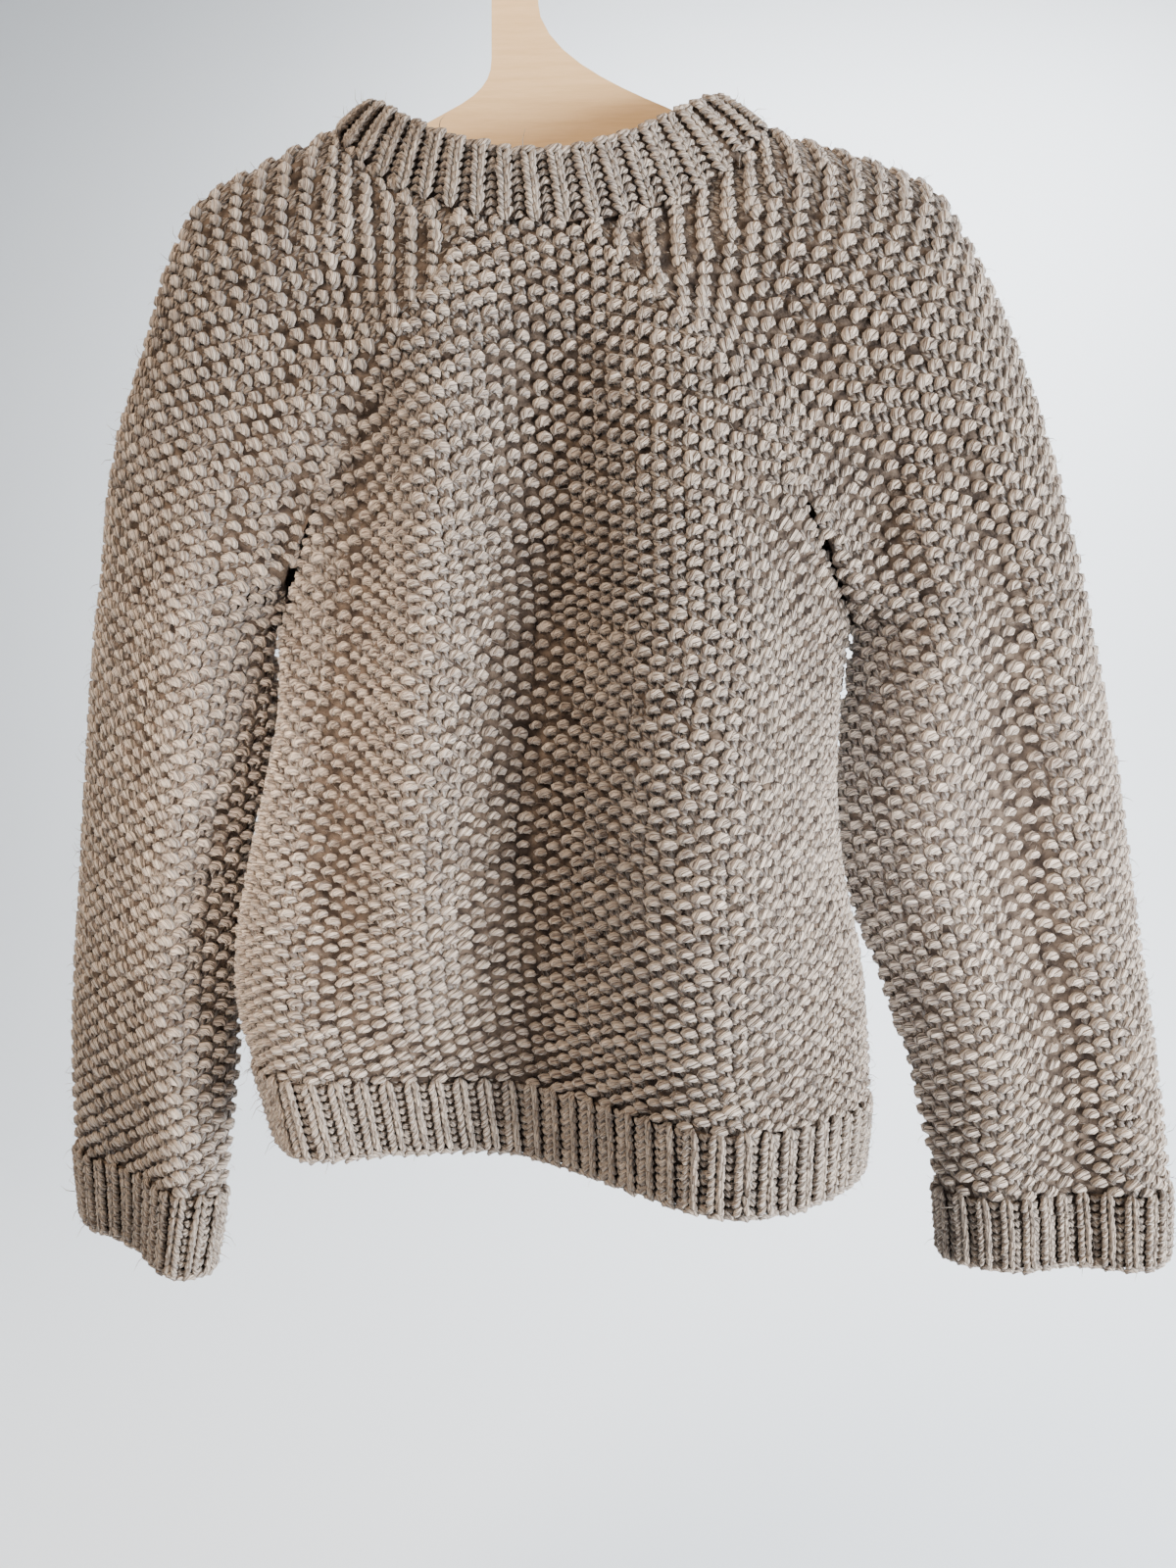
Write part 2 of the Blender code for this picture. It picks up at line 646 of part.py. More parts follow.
def make_wall(piece, normals, finish):
    """Closed wall from a piece of cloth: outer side, inner side and the open rims."""
    count = len(piece.points)
    outer = []
    inner = []
    for number, point in enumerate(piece.points):
        pull = seam_pull(piece, number, normals[key_of(point)])
        outer.append(point + pull)
        inner.append(point + pull - normals[key_of(point)] * CLOTH_WALL)
    faces = [list(face) for face in piece.faces]
    faces += [[number + count for number in face[::-1]] for face in piece.faces]
    edges = {}
    for face in piece.faces:
        for place, number in enumerate(face):
            edges[(face[place - 1], number)] = True
    for start, end in edges:
        if (end, start) not in edges:
            faces += rim_faces(start, end, count, piece.points)
    return make_object(piece.name, outer + inner, faces, finish)


def rim_faces(start, end, count, points):
    """Two triangles across an open rim; their diagonal starts at the higher end on both sides of a seam."""
    if points[start][2] > points[end][2]:
        return [[end, start, end + count], [start, start + count, end + count]]
    return [[end, start, start + count], [end, start + count, end + count]]


def open_borders(grid, left=(), right=(), bottom=False, top=()):
    """Borders that a seam gap parts, each with the step in the grid to the next place inside."""
    rows, columns = grid.shape[:2]
    borders = []
    if len(left):
        borders.append(([(r, 0) for r in left], (0, 1)))
    if len(right):
        borders.append(([(r, columns - 1) for r in right], (0, -1)))
    if bottom:
        borders.append(([(0, c) for c in range(columns)], (1, 0)))
    if len(top):
        borders.append(([(rows - 1, c) for c in top], (-1, 0)))
    return borders


def ring_frame(points):
    """Outward directions of a closed ring of points, square to it and nearly level."""
    tangents = np.roll(points, -1, axis=0) - np.roll(points, 1, axis=0)
    outward = np.stack([tangents[:, 1], -tangents[:, 0], np.zeros(len(points))], axis=-1)
    outward /= np.maximum(np.linalg.norm(outward, axis=1), 1e-9)[:, None]
    centre = points.mean(axis=0)
    if np.sum((points - centre) * outward) < 0.0:
        outward = -outward
    return outward


def resample(points, count):
    """Evenly spaced points round a closed ring, starting at its first point."""
    closed = np.vstack([points, points[:1]])
    steps = np.linalg.norm(np.diff(closed, axis=0), axis=1)
    stations = np.concatenate(([0.0], np.cumsum(steps)))
    at = np.arange(count) * stations[-1] / count
    return np.stack([np.interp(at, stations, closed[:, axis]) for axis in range(3)], axis=-1)


def rib_offsets(ribs):
    """Outward offset of each point round a ribbed ring: one in the valley, two on the rib."""
    pattern = np.array([-RIB_INSET, RIB_RELIEF - RIB_INSET, RIB_RELIEF - RIB_INSET])
    return np.tile(pattern, ribs)


def rib_ring(ring, ribs):
    """Points round a ring, three to a rib, moved so that the ribs are wider than the valleys."""
    fine = resample(ring, ribs * 12)
    places = np.concatenate([np.array([0, 3, 9]) + 12 * rib for rib in range(ribs)])
    return fine[places]


def ring_solid(name, rings, finish):
    """Closed solid from rings in order round the wall: down the outside and up the inside."""
    count = len(rings[0])
    points = np.concatenate(rings)
    faces = []
    for level in range(len(rings)):
        below = (level + 1) % len(rings)
        for place in range(count):
            after = (place + 1) % count
            faces.append([level * count + place, level * count + after,
                          below * count + after, below * count + place])
    if signed_volume(points, faces) < 0.0:
        faces = [face[::-1] for face in faces]
    return make_object(name, points, faces, finish)


def signed_volume(points, faces):
    total = 0.0
    for face in faces:
        for place in range(1, len(face) - 1):
            total += np.dot(points[face[0]], np.cross(points[face[place]], points[face[place + 1]]))
    return total


def tube_ring(point_at):
    """Dense closed ring: the near side from its first edge to its last, then the far side back."""
    u = clustered(90)
    near = point_at(NEAR, u)
    far = point_at(FAR, u[::-1])
    return np.vstack([near[:-1], far[:-1]])


def make_ribbed_tube(name, ribs, ring_at, levels, wall_inset, finish):
    """Ribbed ring of cloth; levels are fractions from its seam to its free edge."""
    offsets = rib_offsets(ribs)[:, None]
    outer = []
    inner = []
    for level in levels:
        ring = rib_ring(ring_at(level), ribs)
        outward = ring_frame(ring)
        fade = 1.0 if 0.0 < level < 1.0 else 0.75
        outer.append(ring + outward * offsets * fade)
        inner.append(ring - outward * wall_inset)
    return ring_solid(name, outer + [inner[-1], inner[len(inner) // 2], inner[0]], finish)


def hem_ring_at(level):
    height = HEM_TOP - SEAM_GAP - level * HEM_RIB_HEIGHT

    def point_at(side, u):
        return body_point(side, u, height)
    return tube_ring(point_at)


def cuff_ring_at(hand):
    def ring_at(level):
        start = CUFF_SEAM_ROW + CUFF_GAP / CUFF_HEIGHT
        row = start + level * (CUFF_END_ROW - start)

        def point_at(side, u):
            return sleeve_point(hand, side, u, row)
        return tube_ring(point_at)
    return ring_at


def neck_loop(grids):
    """Neck seam of the yoke as a loop of outer points, from the left crown round the near side."""
    rows = (
        grids[("left", NEAR)][-1, CROWN_COLUMN:0:-1],
        grids[("panel", NEAR)][-1, :-1],
        grids[("right", NEAR)][-1, :CROWN_COLUMN],
        grids[("right", FAR)][-1, CROWN_COLUMN:0:-1],
        grids[("panel", FAR)][-1, :0:-1],
        grids[("left", FAR)][-1, :CROWN_COLUMN],
    )
    return np.vstack(rows)


def loop_at(loop, stations, at):
    closed = np.vstack([loop, loop[:1]])
    return np.stack([np.interp(at, stations, closed[:, axis]) for axis in range(3)], axis=-1)


def neckband_crest(angles):
    """Crest line of the neckband, from the left crown round the near side and back."""
    side = np.where(angles < np.pi, NEAR, FAR)
    bow = np.where(side == NEAR, NECKBAND_TOP_BOW[NEAR], NECKBAND_TOP_BOW[FAR])
    drop = np.where(side == NEAR, NECKBAND_TOP_DROP[NEAR], NECKBAND_TOP_DROP[FAR])
    x = NECKBAND_TOP_CENTRE - NECKBAND_TOP_HALF_WIDTH * np.cos(angles)
    y = -bow * np.sin(angles)
    height = NECKBAND_TOP_HEIGHT - drop * np.sin(angles) ** 2
    return np.stack([x, y, height], axis=-1)


def make_neckband(grids, normals):
    loop = neck_loop(grids)
    directions = np.array([normals[key_of(point)] for point in loop])
    tangents = np.roll(loop, -1, axis=0) - np.roll(loop, 1, axis=0)
    middle = loop.mean(axis=0) + np.array([0.0, 0.0, 60.0])
    ups = np.array([square_to(*row) for row in zip(directions, tangents, middle - loop)])
    closed = np.vstack([loop, loop[:1]])
    stations = np.concatenate(([0.0], np.cumsum(np.linalg.norm(np.diff(closed, axis=0), axis=1))))
    fine = NECK_RIBS * 12
    at = np.arange(fine) * stations[-1] / fine
    places = np.concatenate([np.array([0, 3, 9]) + 12 * rib for rib in range(NECK_RIBS)])
    at = at[places]
    seam = loop_at(loop, stations, at)
    up = loop_at(ups, stations, at)
    out = loop_at(directions, stations, at)
    angles = np.linspace(0.0, 2.0 * np.pi, 721)[:-1]
    crest_line = neckband_crest(angles)
    crest = resample(crest_line, fine)[places]
    seam = seam + up * NECK_GAP
    crest_out = ring_frame(crest)
    crest_out = crest_out + np.array([0.0, 0.0, 0.35])
    crest_out /= np.linalg.norm(crest_out, axis=1)[:, None]
    offsets = rib_offsets(NECK_RIBS)[:, None]
    outer = []
    inner = []
    for level in (0.0, 0.3, 0.62, 0.9):
        weight = smooth_step(level)
        middle = seam + (crest - seam) * level
        lean = out + (crest_out - out) * weight
        if level > 0.0:
            lean /= np.linalg.norm(lean, axis=1)[:, None]
        outer.append(middle + lean * (offsets + 1.0 * math.sin(math.pi * level)))
        inner.append(middle - lean * NECKBAND_WALL)
    rim = crest - crest_out * NECKBAND_WALL * 0.5
    top_lift = (crest - seam) / np.linalg.norm(crest - seam, axis=1)[:, None]
    top_outer = rim + crest_out * NECKBAND_WALL * 0.22 + top_lift * NECKBAND_ROUNDING * 0.6
    top_inner = rim - crest_out * NECKBAND_WALL * 0.22 + top_lift * NECKBAND_ROUNDING * 0.6
    rings = outer + [top_outer, top_inner] + inner[::-1][:1] + [inner[1], inner[0]]
    return ring_solid("neckband", rings, YARN_RIB)


def arc_points(centre, radius, start, end, steps):
    angles = np.radians(np.linspace(start, end, steps + 1))
    return [(centre[0] + radius * math.cos(angle), centre[1] + radius * math.sin(angle)) for angle in angles]


def arm_top(x):
    return float(np.interp(abs(x), [row[0] for row in ARM_TOP], [row[1] for row in ARM_TOP]))


def bezier(start, pull_start, pull_end, end, steps):
    points = []
    for step in range(1, steps):
        t = step / steps
        points.append(tuple((1 - t) ** 3 * a + 3 * (1 - t) ** 2 * t * b + 3 * (1 - t) * t * t * c + t ** 3 * d
                            for a, b, c, d in zip(start, pull_start, pull_end, end)))
    return points


def hanger_outline():
    """Outline of the board, clockwise from the foot of the shank's right side."""
    centre = (0.0, -HOOK_INNER_RADIUS)
    outer_radius = HOOK_INNER_RADIUS + HOOK_BAND
    inner_start = math.degrees(math.asin(-math.sqrt(HOOK_INNER_RADIUS ** 2 - SHANK_RIGHT ** 2) / HOOK_INNER_RADIUS))
    inner_start = -180.0 - inner_start
    points = [(SHANK_RIGHT, SHANK_FOOT + 30.0)]
    points += arc_points(centre, HOOK_INNER_RADIUS, inner_start + 360.0, HOOK_END_ANGLE, 22)
    tip_centre_radius = HOOK_INNER_RADIUS + 0.5 * HOOK_BAND
    tip = (centre[0] + tip_centre_radius * math.cos(math.radians(HOOK_END_ANGLE)),
           centre[1] + tip_centre_radius * math.sin(math.radians(HOOK_END_ANGLE)))
    points += arc_points(tip, 0.5 * HOOK_BAND, HOOK_END_ANGLE + 180.0, HOOK_END_ANGLE + 360.0, 6)[1:-1]
    points += arc_points(centre, outer_radius, HOOK_END_ANGLE, 195.0, 20)
    left_foot = (SHANK_LEFT, SHANK_FOOT - 4.0)
    points += [(SHANK_LEFT, -48.0), left_foot]
    left_arm = (-ARM_START, arm_top(ARM_START))
    points += bezier(left_foot, (SHANK_LEFT, -101.0), (-44.0, -108.4), left_arm, 6)
    points.append(left_arm)
    points += arm_end_points(-1.0)
    points += bottom_points()
    points += [(x, z) for x, z in arm_end_points(1.0)[::-1]]
    right_arm = (ARM_START, arm_top(ARM_START))
    points.append(right_arm)
    right_foot = (SHANK_RIGHT, SHANK_FOOT + 30.0)
    points += bezier(right_arm, (30.0, -103.4), (SHANK_RIGHT, -84.0), right_foot, 8)
    return points


def arm_end_points(sign):
    """Rounded end of an arm, from its top edge to its bottom edge."""
    radius = 0.5 * ARM_TIP_DEPTH
    top = arm_top(ARM_END - radius)
    slope = math.degrees(math.atan(ARM_END_SLOPE))
    centre = ((ARM_END - radius), top - radius)
    arc = arc_points(centre, radius, 90.0 - slope, -100.0, 8)
    return [(sign * x, z) for x, z in list(ARM_TOP[1:-1]) + arc]


def bottom_points():
    """Lower edge of the board, arched a little, from the left arm to the right."""
    points = []
    end_height = arm_top(ARM_END - 0.5 * ARM_TIP_DEPTH) - ARM_TIP_DEPTH
    for step in range(1, 12):
        share = step / 6.0 - 1.0
        x = share * (ARM_END - 24.0)
        points.append((x, BOARD_BOTTOM + (end_height - BOARD_BOTTOM) * abs(share) ** 1.6))
    return points


def make_hanger():
    outline = hanger_outline()
    half = 0.5 * BOARD_THICKNESS
    count = len(outline)
    points = [(x, -half, z) for x, z in outline] + [(x, half, z) for x, z in outline]
    faces = [list(range(count)), [count + place for place in range(count)][::-1]]
    for place in range(count):
        after = (place + 1) % count
        faces.append([after, place, place + count, after + count])
    points = np.array(points)
    if signed_volume(points, faces) < 0.0:
        faces = [face[::-1] for face in faces]
    return make_object("hanger", points, faces, BIRCH)


def make_sweater():
    grids = {("panel", side): panel_grid(side) for side in (NEAR, FAR)}
    for hand in ("left", "right"):
        for side in (NEAR, FAR):
            grids[(hand, side)] = sleeve_grid(hand, side)
    pieces = []
    for name, side in (("panel_near", NEAR), ("panel_far", FAR)):
        grid = grids[("panel", side)]
        rows, columns = grid.shape[:2]
        borders = []
        for line in (range(BODY_ROWS + 1), range(BODY_ROWS, rows)):
            borders += open_borders(grid, left=line, right=line)
        borders += open_borders(grid, bottom=True, top=range(columns))
        pieces.append(Cloth(name, [grid], [side], [borders]))
    for hand in ("left", "right"):
        near = grids[(hand, NEAR)]
        far = grids[(hand, FAR)]
        yoke = range(SLEEVE_ROWS, near.shape[0])
        borders = [open_borders(grid, left=yoke, bottom=True, top=range(CROWN_COLUMN + 1)) for grid in (near, far)]
        pieces.append(Cloth("sleeve_" + hand, [near, far], [NEAR, FAR], borders))
    normals = shared_normals(pieces)
    for piece in pieces:
        make_wall(piece, normals, YARN)
    make_neckband(grids, normals)
    make_ribbed_tube("hem_rib", HEM_RIBS, hem_ring_at, (0.0, 0.12, 0.5, 0.9, 1.0), CLOTH_WALL, YARN_RIB)
    for hand in ("left", "right"):
        make_ribbed_tube("cuff_" + hand, CUFF_RIBS, cuff_ring_at(hand), (0.0, 0.12, 0.5, 0.9, 1.0),
                         CLOTH_WALL, YARN_RIB)


def main():
    remove_all_objects()
    make_hanger()
    make_sweater()


main()
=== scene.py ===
"""Chunky seed-stitch sweater on a flat plywood hanger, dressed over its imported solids.

Metres, +Z up; the near side of the sweater faces -Y and the origin is where the hanger's hook bears.
The tables of the sweater's shape are in millimetres, and MM turns them into metres.
"""
from __future__ import annotations

import json
import logging
import math
from dataclasses import dataclass, field
from enum import Enum
from typing import NamedTuple, Sequence

import bpy
import numpy as np
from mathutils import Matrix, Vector
from mathutils.bvhtree import BVHTree

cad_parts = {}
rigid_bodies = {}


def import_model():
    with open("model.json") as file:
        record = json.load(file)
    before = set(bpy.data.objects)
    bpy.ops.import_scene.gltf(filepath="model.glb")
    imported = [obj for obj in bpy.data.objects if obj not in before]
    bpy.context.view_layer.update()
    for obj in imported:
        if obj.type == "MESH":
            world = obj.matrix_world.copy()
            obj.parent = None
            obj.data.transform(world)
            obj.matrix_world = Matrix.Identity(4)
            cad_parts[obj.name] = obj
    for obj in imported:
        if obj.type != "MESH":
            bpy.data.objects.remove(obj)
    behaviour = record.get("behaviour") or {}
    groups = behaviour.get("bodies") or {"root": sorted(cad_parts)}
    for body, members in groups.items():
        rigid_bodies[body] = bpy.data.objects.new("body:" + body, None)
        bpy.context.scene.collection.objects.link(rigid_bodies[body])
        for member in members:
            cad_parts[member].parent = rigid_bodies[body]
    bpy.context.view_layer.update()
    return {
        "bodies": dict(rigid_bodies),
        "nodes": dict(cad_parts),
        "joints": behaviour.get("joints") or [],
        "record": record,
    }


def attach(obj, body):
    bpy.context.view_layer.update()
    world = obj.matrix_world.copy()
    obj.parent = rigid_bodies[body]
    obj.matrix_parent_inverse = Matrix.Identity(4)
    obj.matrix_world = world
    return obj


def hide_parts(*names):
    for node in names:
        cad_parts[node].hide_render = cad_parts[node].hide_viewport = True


LOG = logging.getLogger("sweater")
MM = 0.001
BODY = "root"
COURSE_HEIGHT = 0.00425
FOLD_FADE_LENGTH = 60.0
FOLD_FADE_START = 0.4
RAY_DISTANCE = 500.0
TENSION_STEPS = 400
Grid = np.ndarray
Colour = tuple[float, float, float, float]
Point = tuple[float, float, float]


class Side(Enum):
    """The two layers of the hanging garment: the one seen, and the one behind the hanger."""

    NEAR = -1.0
    FAR = 1.0


class Hand(Enum):
    """Sleeves by the viewer's left and right."""

    LEFT = -1.0
    RIGHT = 1.0


class Edge(NamedTuple):
    """A point of the body's side edge."""

    height: float
    x: float
    depth: float


class Outline(NamedTuple):
    """A point of a sleeve's outer fold above the armpit."""

    x: float
    height: float
    depth: float


class Fullness(NamedTuple):
    """How far the two layers swell from the plane of the hanger, and their reach from a folded edge."""

    height: float
    near: float
    far: float
    reach: float


class Section(NamedTuple):
    """A section across a sleeve, from its inner fold to its outer fold."""

    inner_x: float
    inner_height: float
    inner_depth: float
    outer_x: float
    outer_height: float
    outer_depth: float


class Fold(NamedTuple):
    """A fold that runs down the cloth; a positive swell stands out and a negative one is a trough."""

    top: float
    bottom: float
    top_x: float
    bottom_x: float
    half_width: float
    top_swell: float
    middle_swell: float
    bottom_swell: float


def smooth_step(value: Grid | float) -> Grid:
    """Return the value's smooth step between 0 and 1."""
    value = np.clip(value, 0.0, 1.0)
    return value * value * (3.0 - 2.0 * value)


def rise(distance: Grid | float, reach: float) -> Grid:
    """Quarter-ellipse rise from a folded edge.

    Args:
        distance: Distance in from the edge.
        reach: Distance from which the rise is full.

    Returns:
        0 at the edge and 1 from the reach on.
    """
    left_over = 1.0 - np.clip(np.asarray(distance, dtype=float) / reach, 0.0, 1.0)
    return np.sqrt(np.maximum(0.0, 1.0 - left_over * left_over))


def joined_rise(first: Grid, second: Grid) -> Grid:
    """Join two rises in one.

    Args:
        first: One rise.
        second: The other one.

    Returns:
        Each rise alone where the other is full, and 0 where either is 0.
    """
    first = np.maximum(first, 1e-6)
    second = np.maximum(second, 1e-6)
    return (first ** -3.0 + second ** -3.0 - 1.0) ** (-1.0 / 3.0)


def curve_through(stations: Sequence[float], values: Sequence[float], at: Grid | float) -> Grid:
    """Smooth curve through values at rising or falling stations.

    Args:
        stations: Where the values are known.
        values: The values there.
        at: Where the curve is read.

    Returns:
        The curve's value at each place, held level past both ends.
    """
    stations = np.asarray(stations, dtype=float)
    values = np.asarray(values, dtype=float)
    if stations[0] > stations[-1]:
        stations = stations[::-1]
        values = values[::-1]
    at = np.clip(np.asarray(at, dtype=float), stations[0], stations[-1])
    slopes = np.gradient(values, stations)
    index = np.clip(np.searchsorted(stations, at, side="right") - 1, 0, len(stations) - 2)
    span = stations[index + 1] - stations[index]
    t = (at - stations[index]) / span
    t2 = t * t
    t3 = t2 * t
    start = (2.0 * t3 - 3.0 * t2 + 1.0) * values[index] + (t3 - 2.0 * t2 + t) * span * slopes[index]
    end = (3.0 * t2 - 2.0 * t3) * values[index + 1] + (t3 - t2) * span * slopes[index + 1]
    return start + end


def column(rows: Sequence[NamedTuple], name: str) -> list[float]:
    """Return one named column of a table."""
    return [getattr(row, name) for row in rows]


def from_rows(rows: Sequence[NamedTuple], name: str, height: Grid | float) -> Grid:
    """Return a named column of a table, read at a height."""
    return curve_through(column(rows, "height"), column(rows, name), height)


def summed(steps: Grid) -> Grid:
    """Return the running sum of some steps, from 0 on."""
    return np.concatenate(([0.0], np.cumsum(steps)))


def lengths_along(points: Grid) -> Grid:
    """Return the length of the line through some points, up to each of them."""
    return summed(np.linalg.norm(np.diff(points, axis=0), axis=1))


def along(points: Sequence[Sequence[float]], fractions: Sequence[float]) -> Grid:
    """Smooth line through some points.

    Args:
        points: The points, of two or three values.
        fractions: Fractions of the line's length.

    Returns:
        The line's points at those fractions.
    """
    points = np.asarray(points, dtype=float)
    stations = lengths_along(points)
    at = np.asarray(fractions, dtype=float) * stations[-1]
    return np.stack([curve_through(stations, values, at) for values in points.T], axis=-1)


def read_line(values: Grid, stations: Grid, at: Grid) -> Grid:
    """Return the vectors known at a line's stations, read at other places on it."""
    return np.stack([np.interp(at, stations, values[:, axis]) for axis in range(3)], axis=-1)


def spread_round(loop: Grid, count: int, *beside: Grid) -> list[Grid]:
    """Read a closed loop, and what goes with its points, at even distances round it.

    Args:
        loop: The loop's points.
        count: How many places are read.
        beside: More vectors known at the loop's points.

    Returns:
        The places, and each of those vectors there.
    """
    stations = lengths_along(np.vstack([loop, loop[:1]]))
    at = np.arange(count) * stations[-1] / count
    return [read_line(np.vstack([values, values[:1]]), stations, at) for values in (loop, *beside)]


def fold_swell(folds: Sequence[Fold], x: Grid, height: Grid) -> Grid:
    """Sum of the folds' swells.

    Args:
        folds: The folds of one layer.
        x: Places across the cloth.
        height: Heights of those places.

    Returns:
        The swell at each place, in millimetres.
    """
    total = np.zeros_like(x)
    for fold in folds:
        down = np.clip((fold.top - height) / (fold.top - fold.bottom), 0.0, 1.0)
        centre = fold.top_x + (fold.bottom_x - fold.top_x) * down
        bend = fold.middle_swell - 0.5 * (fold.top_swell + fold.bottom_swell)
        swell = fold.top_swell + (fold.bottom_swell - fold.top_swell) * down
        swell = swell + 4.0 * bend * down * (1.0 - down)
        fade = smooth_step((fold.top - height) / FOLD_FADE_LENGTH + FOLD_FADE_START)
        total += swell * fade * np.exp(-((x - centre) / fold.half_width) ** 2)
    return total


def unit(vectors: Grid) -> Grid:
    """Return the vectors at length 1."""
    return vectors / np.maximum(np.linalg.norm(vectors, axis=-1, keepdims=True), 1e-12)


def flattened(vectors: Grid, normals: Grid) -> Grid:
    """Return the vectors without their part along the unit normals."""
    return vectors - np.sum(vectors * normals, axis=1, keepdims=True) * normals


def clustered(count: int, share: float = 1.0) -> Grid:
    """Return fractions from 0 to 1, closer together at both ends, where the cloth folds."""
    even = np.arange(count + 1) / count
    return even + share * (0.5 - 0.5 * np.cos(np.pi * even) - even)


def grid_quads(rows: int, columns: int) -> Grid:
    """Faces between neighbouring points of a grid.

    Args:
        rows: Rows of points.
        columns: Points in each row.

    Returns:
        Four point numbers for each face.
    """
    numbers = np.arange(rows * columns).reshape(rows, columns)
    corners = [numbers[:-1, :-1], numbers[:-1, 1:], numbers[1:, 1:], numbers[1:, :-1]]
    return np.stack(corners, axis=-1).reshape(-1, 4)


def sheet_tree(sheet: Grid) -> BVHTree:
    """Return a search tree of a grid of points."""
    points = [Vector(point) for point in sheet.reshape(-1, 3)]
    return BVHTree.FromPolygons(points, grid_quads(*sheet.shape[:2]).tolist())


def sheet_depth(tree: BVHTree, x: float, height: float, side: Side) -> float | None:
    """Depth of a sheet at one place, seen along Y.

    Args:
        tree: The sheet's search tree, in millimetres.
        x: Place across.
        height: Height of the place.
        side: Layer of the garment.

    Returns:
        The depth, or nothing where the sheet isn't met.
    """
    start = Vector((x, side.value * RAY_DISTANCE, height))
    found = tree.ray_cast(start, Vector((0.0, -side.value, 0.0)))[0]
    return None if found is None else found.y


@dataclass
class Patch:
    """A stretch of cloth: grids of points and outward normals, rows from its lower edge to its upper one."""

    points: Grid
    normals: Grid

    @classmethod
    def from_points(cls, points: Grid) -> "Patch":
        """Work out the normals of a grid of points.

        Args:
            points: Rows and columns of points, in metres.

        Returns:
            The patch, with normals that point away from the inside.
        """
        up = np.gradient(points, axis=0)
        across = np.gradient(points, axis=1)
        normals = unit(np.cross(across, up))
        inside = points.mean(axis=1, keepdims=True) * np.array([1.0, 0.0, 1.0])
        if np.sum(normals * (points - inside)) < 0.0:
            normals = -normals
        return cls(points, normals)


@dataclass
class Lattice:
    """Places on a patch where stitches go, with the directions of the cloth at each."""

    place: Grid
    across: Grid
    up: Grid
    out: Grid
    wale: Grid
    course: Grid
    stretch: Grid

    def pick(self, chosen: Grid) -> "Lattice":
        """Return only the chosen places."""
        return Lattice(*[getattr(self, name)[chosen] for name in self.__dataclass_fields__])

    @classmethod
    def joined(cls, parts: Sequence["Lattice"]) -> "Lattice":
        """Return several lots of places as one."""
        return cls(*[np.concatenate([getattr(part, name) for part in parts])
                     for name in cls.__dataclass_fields__])


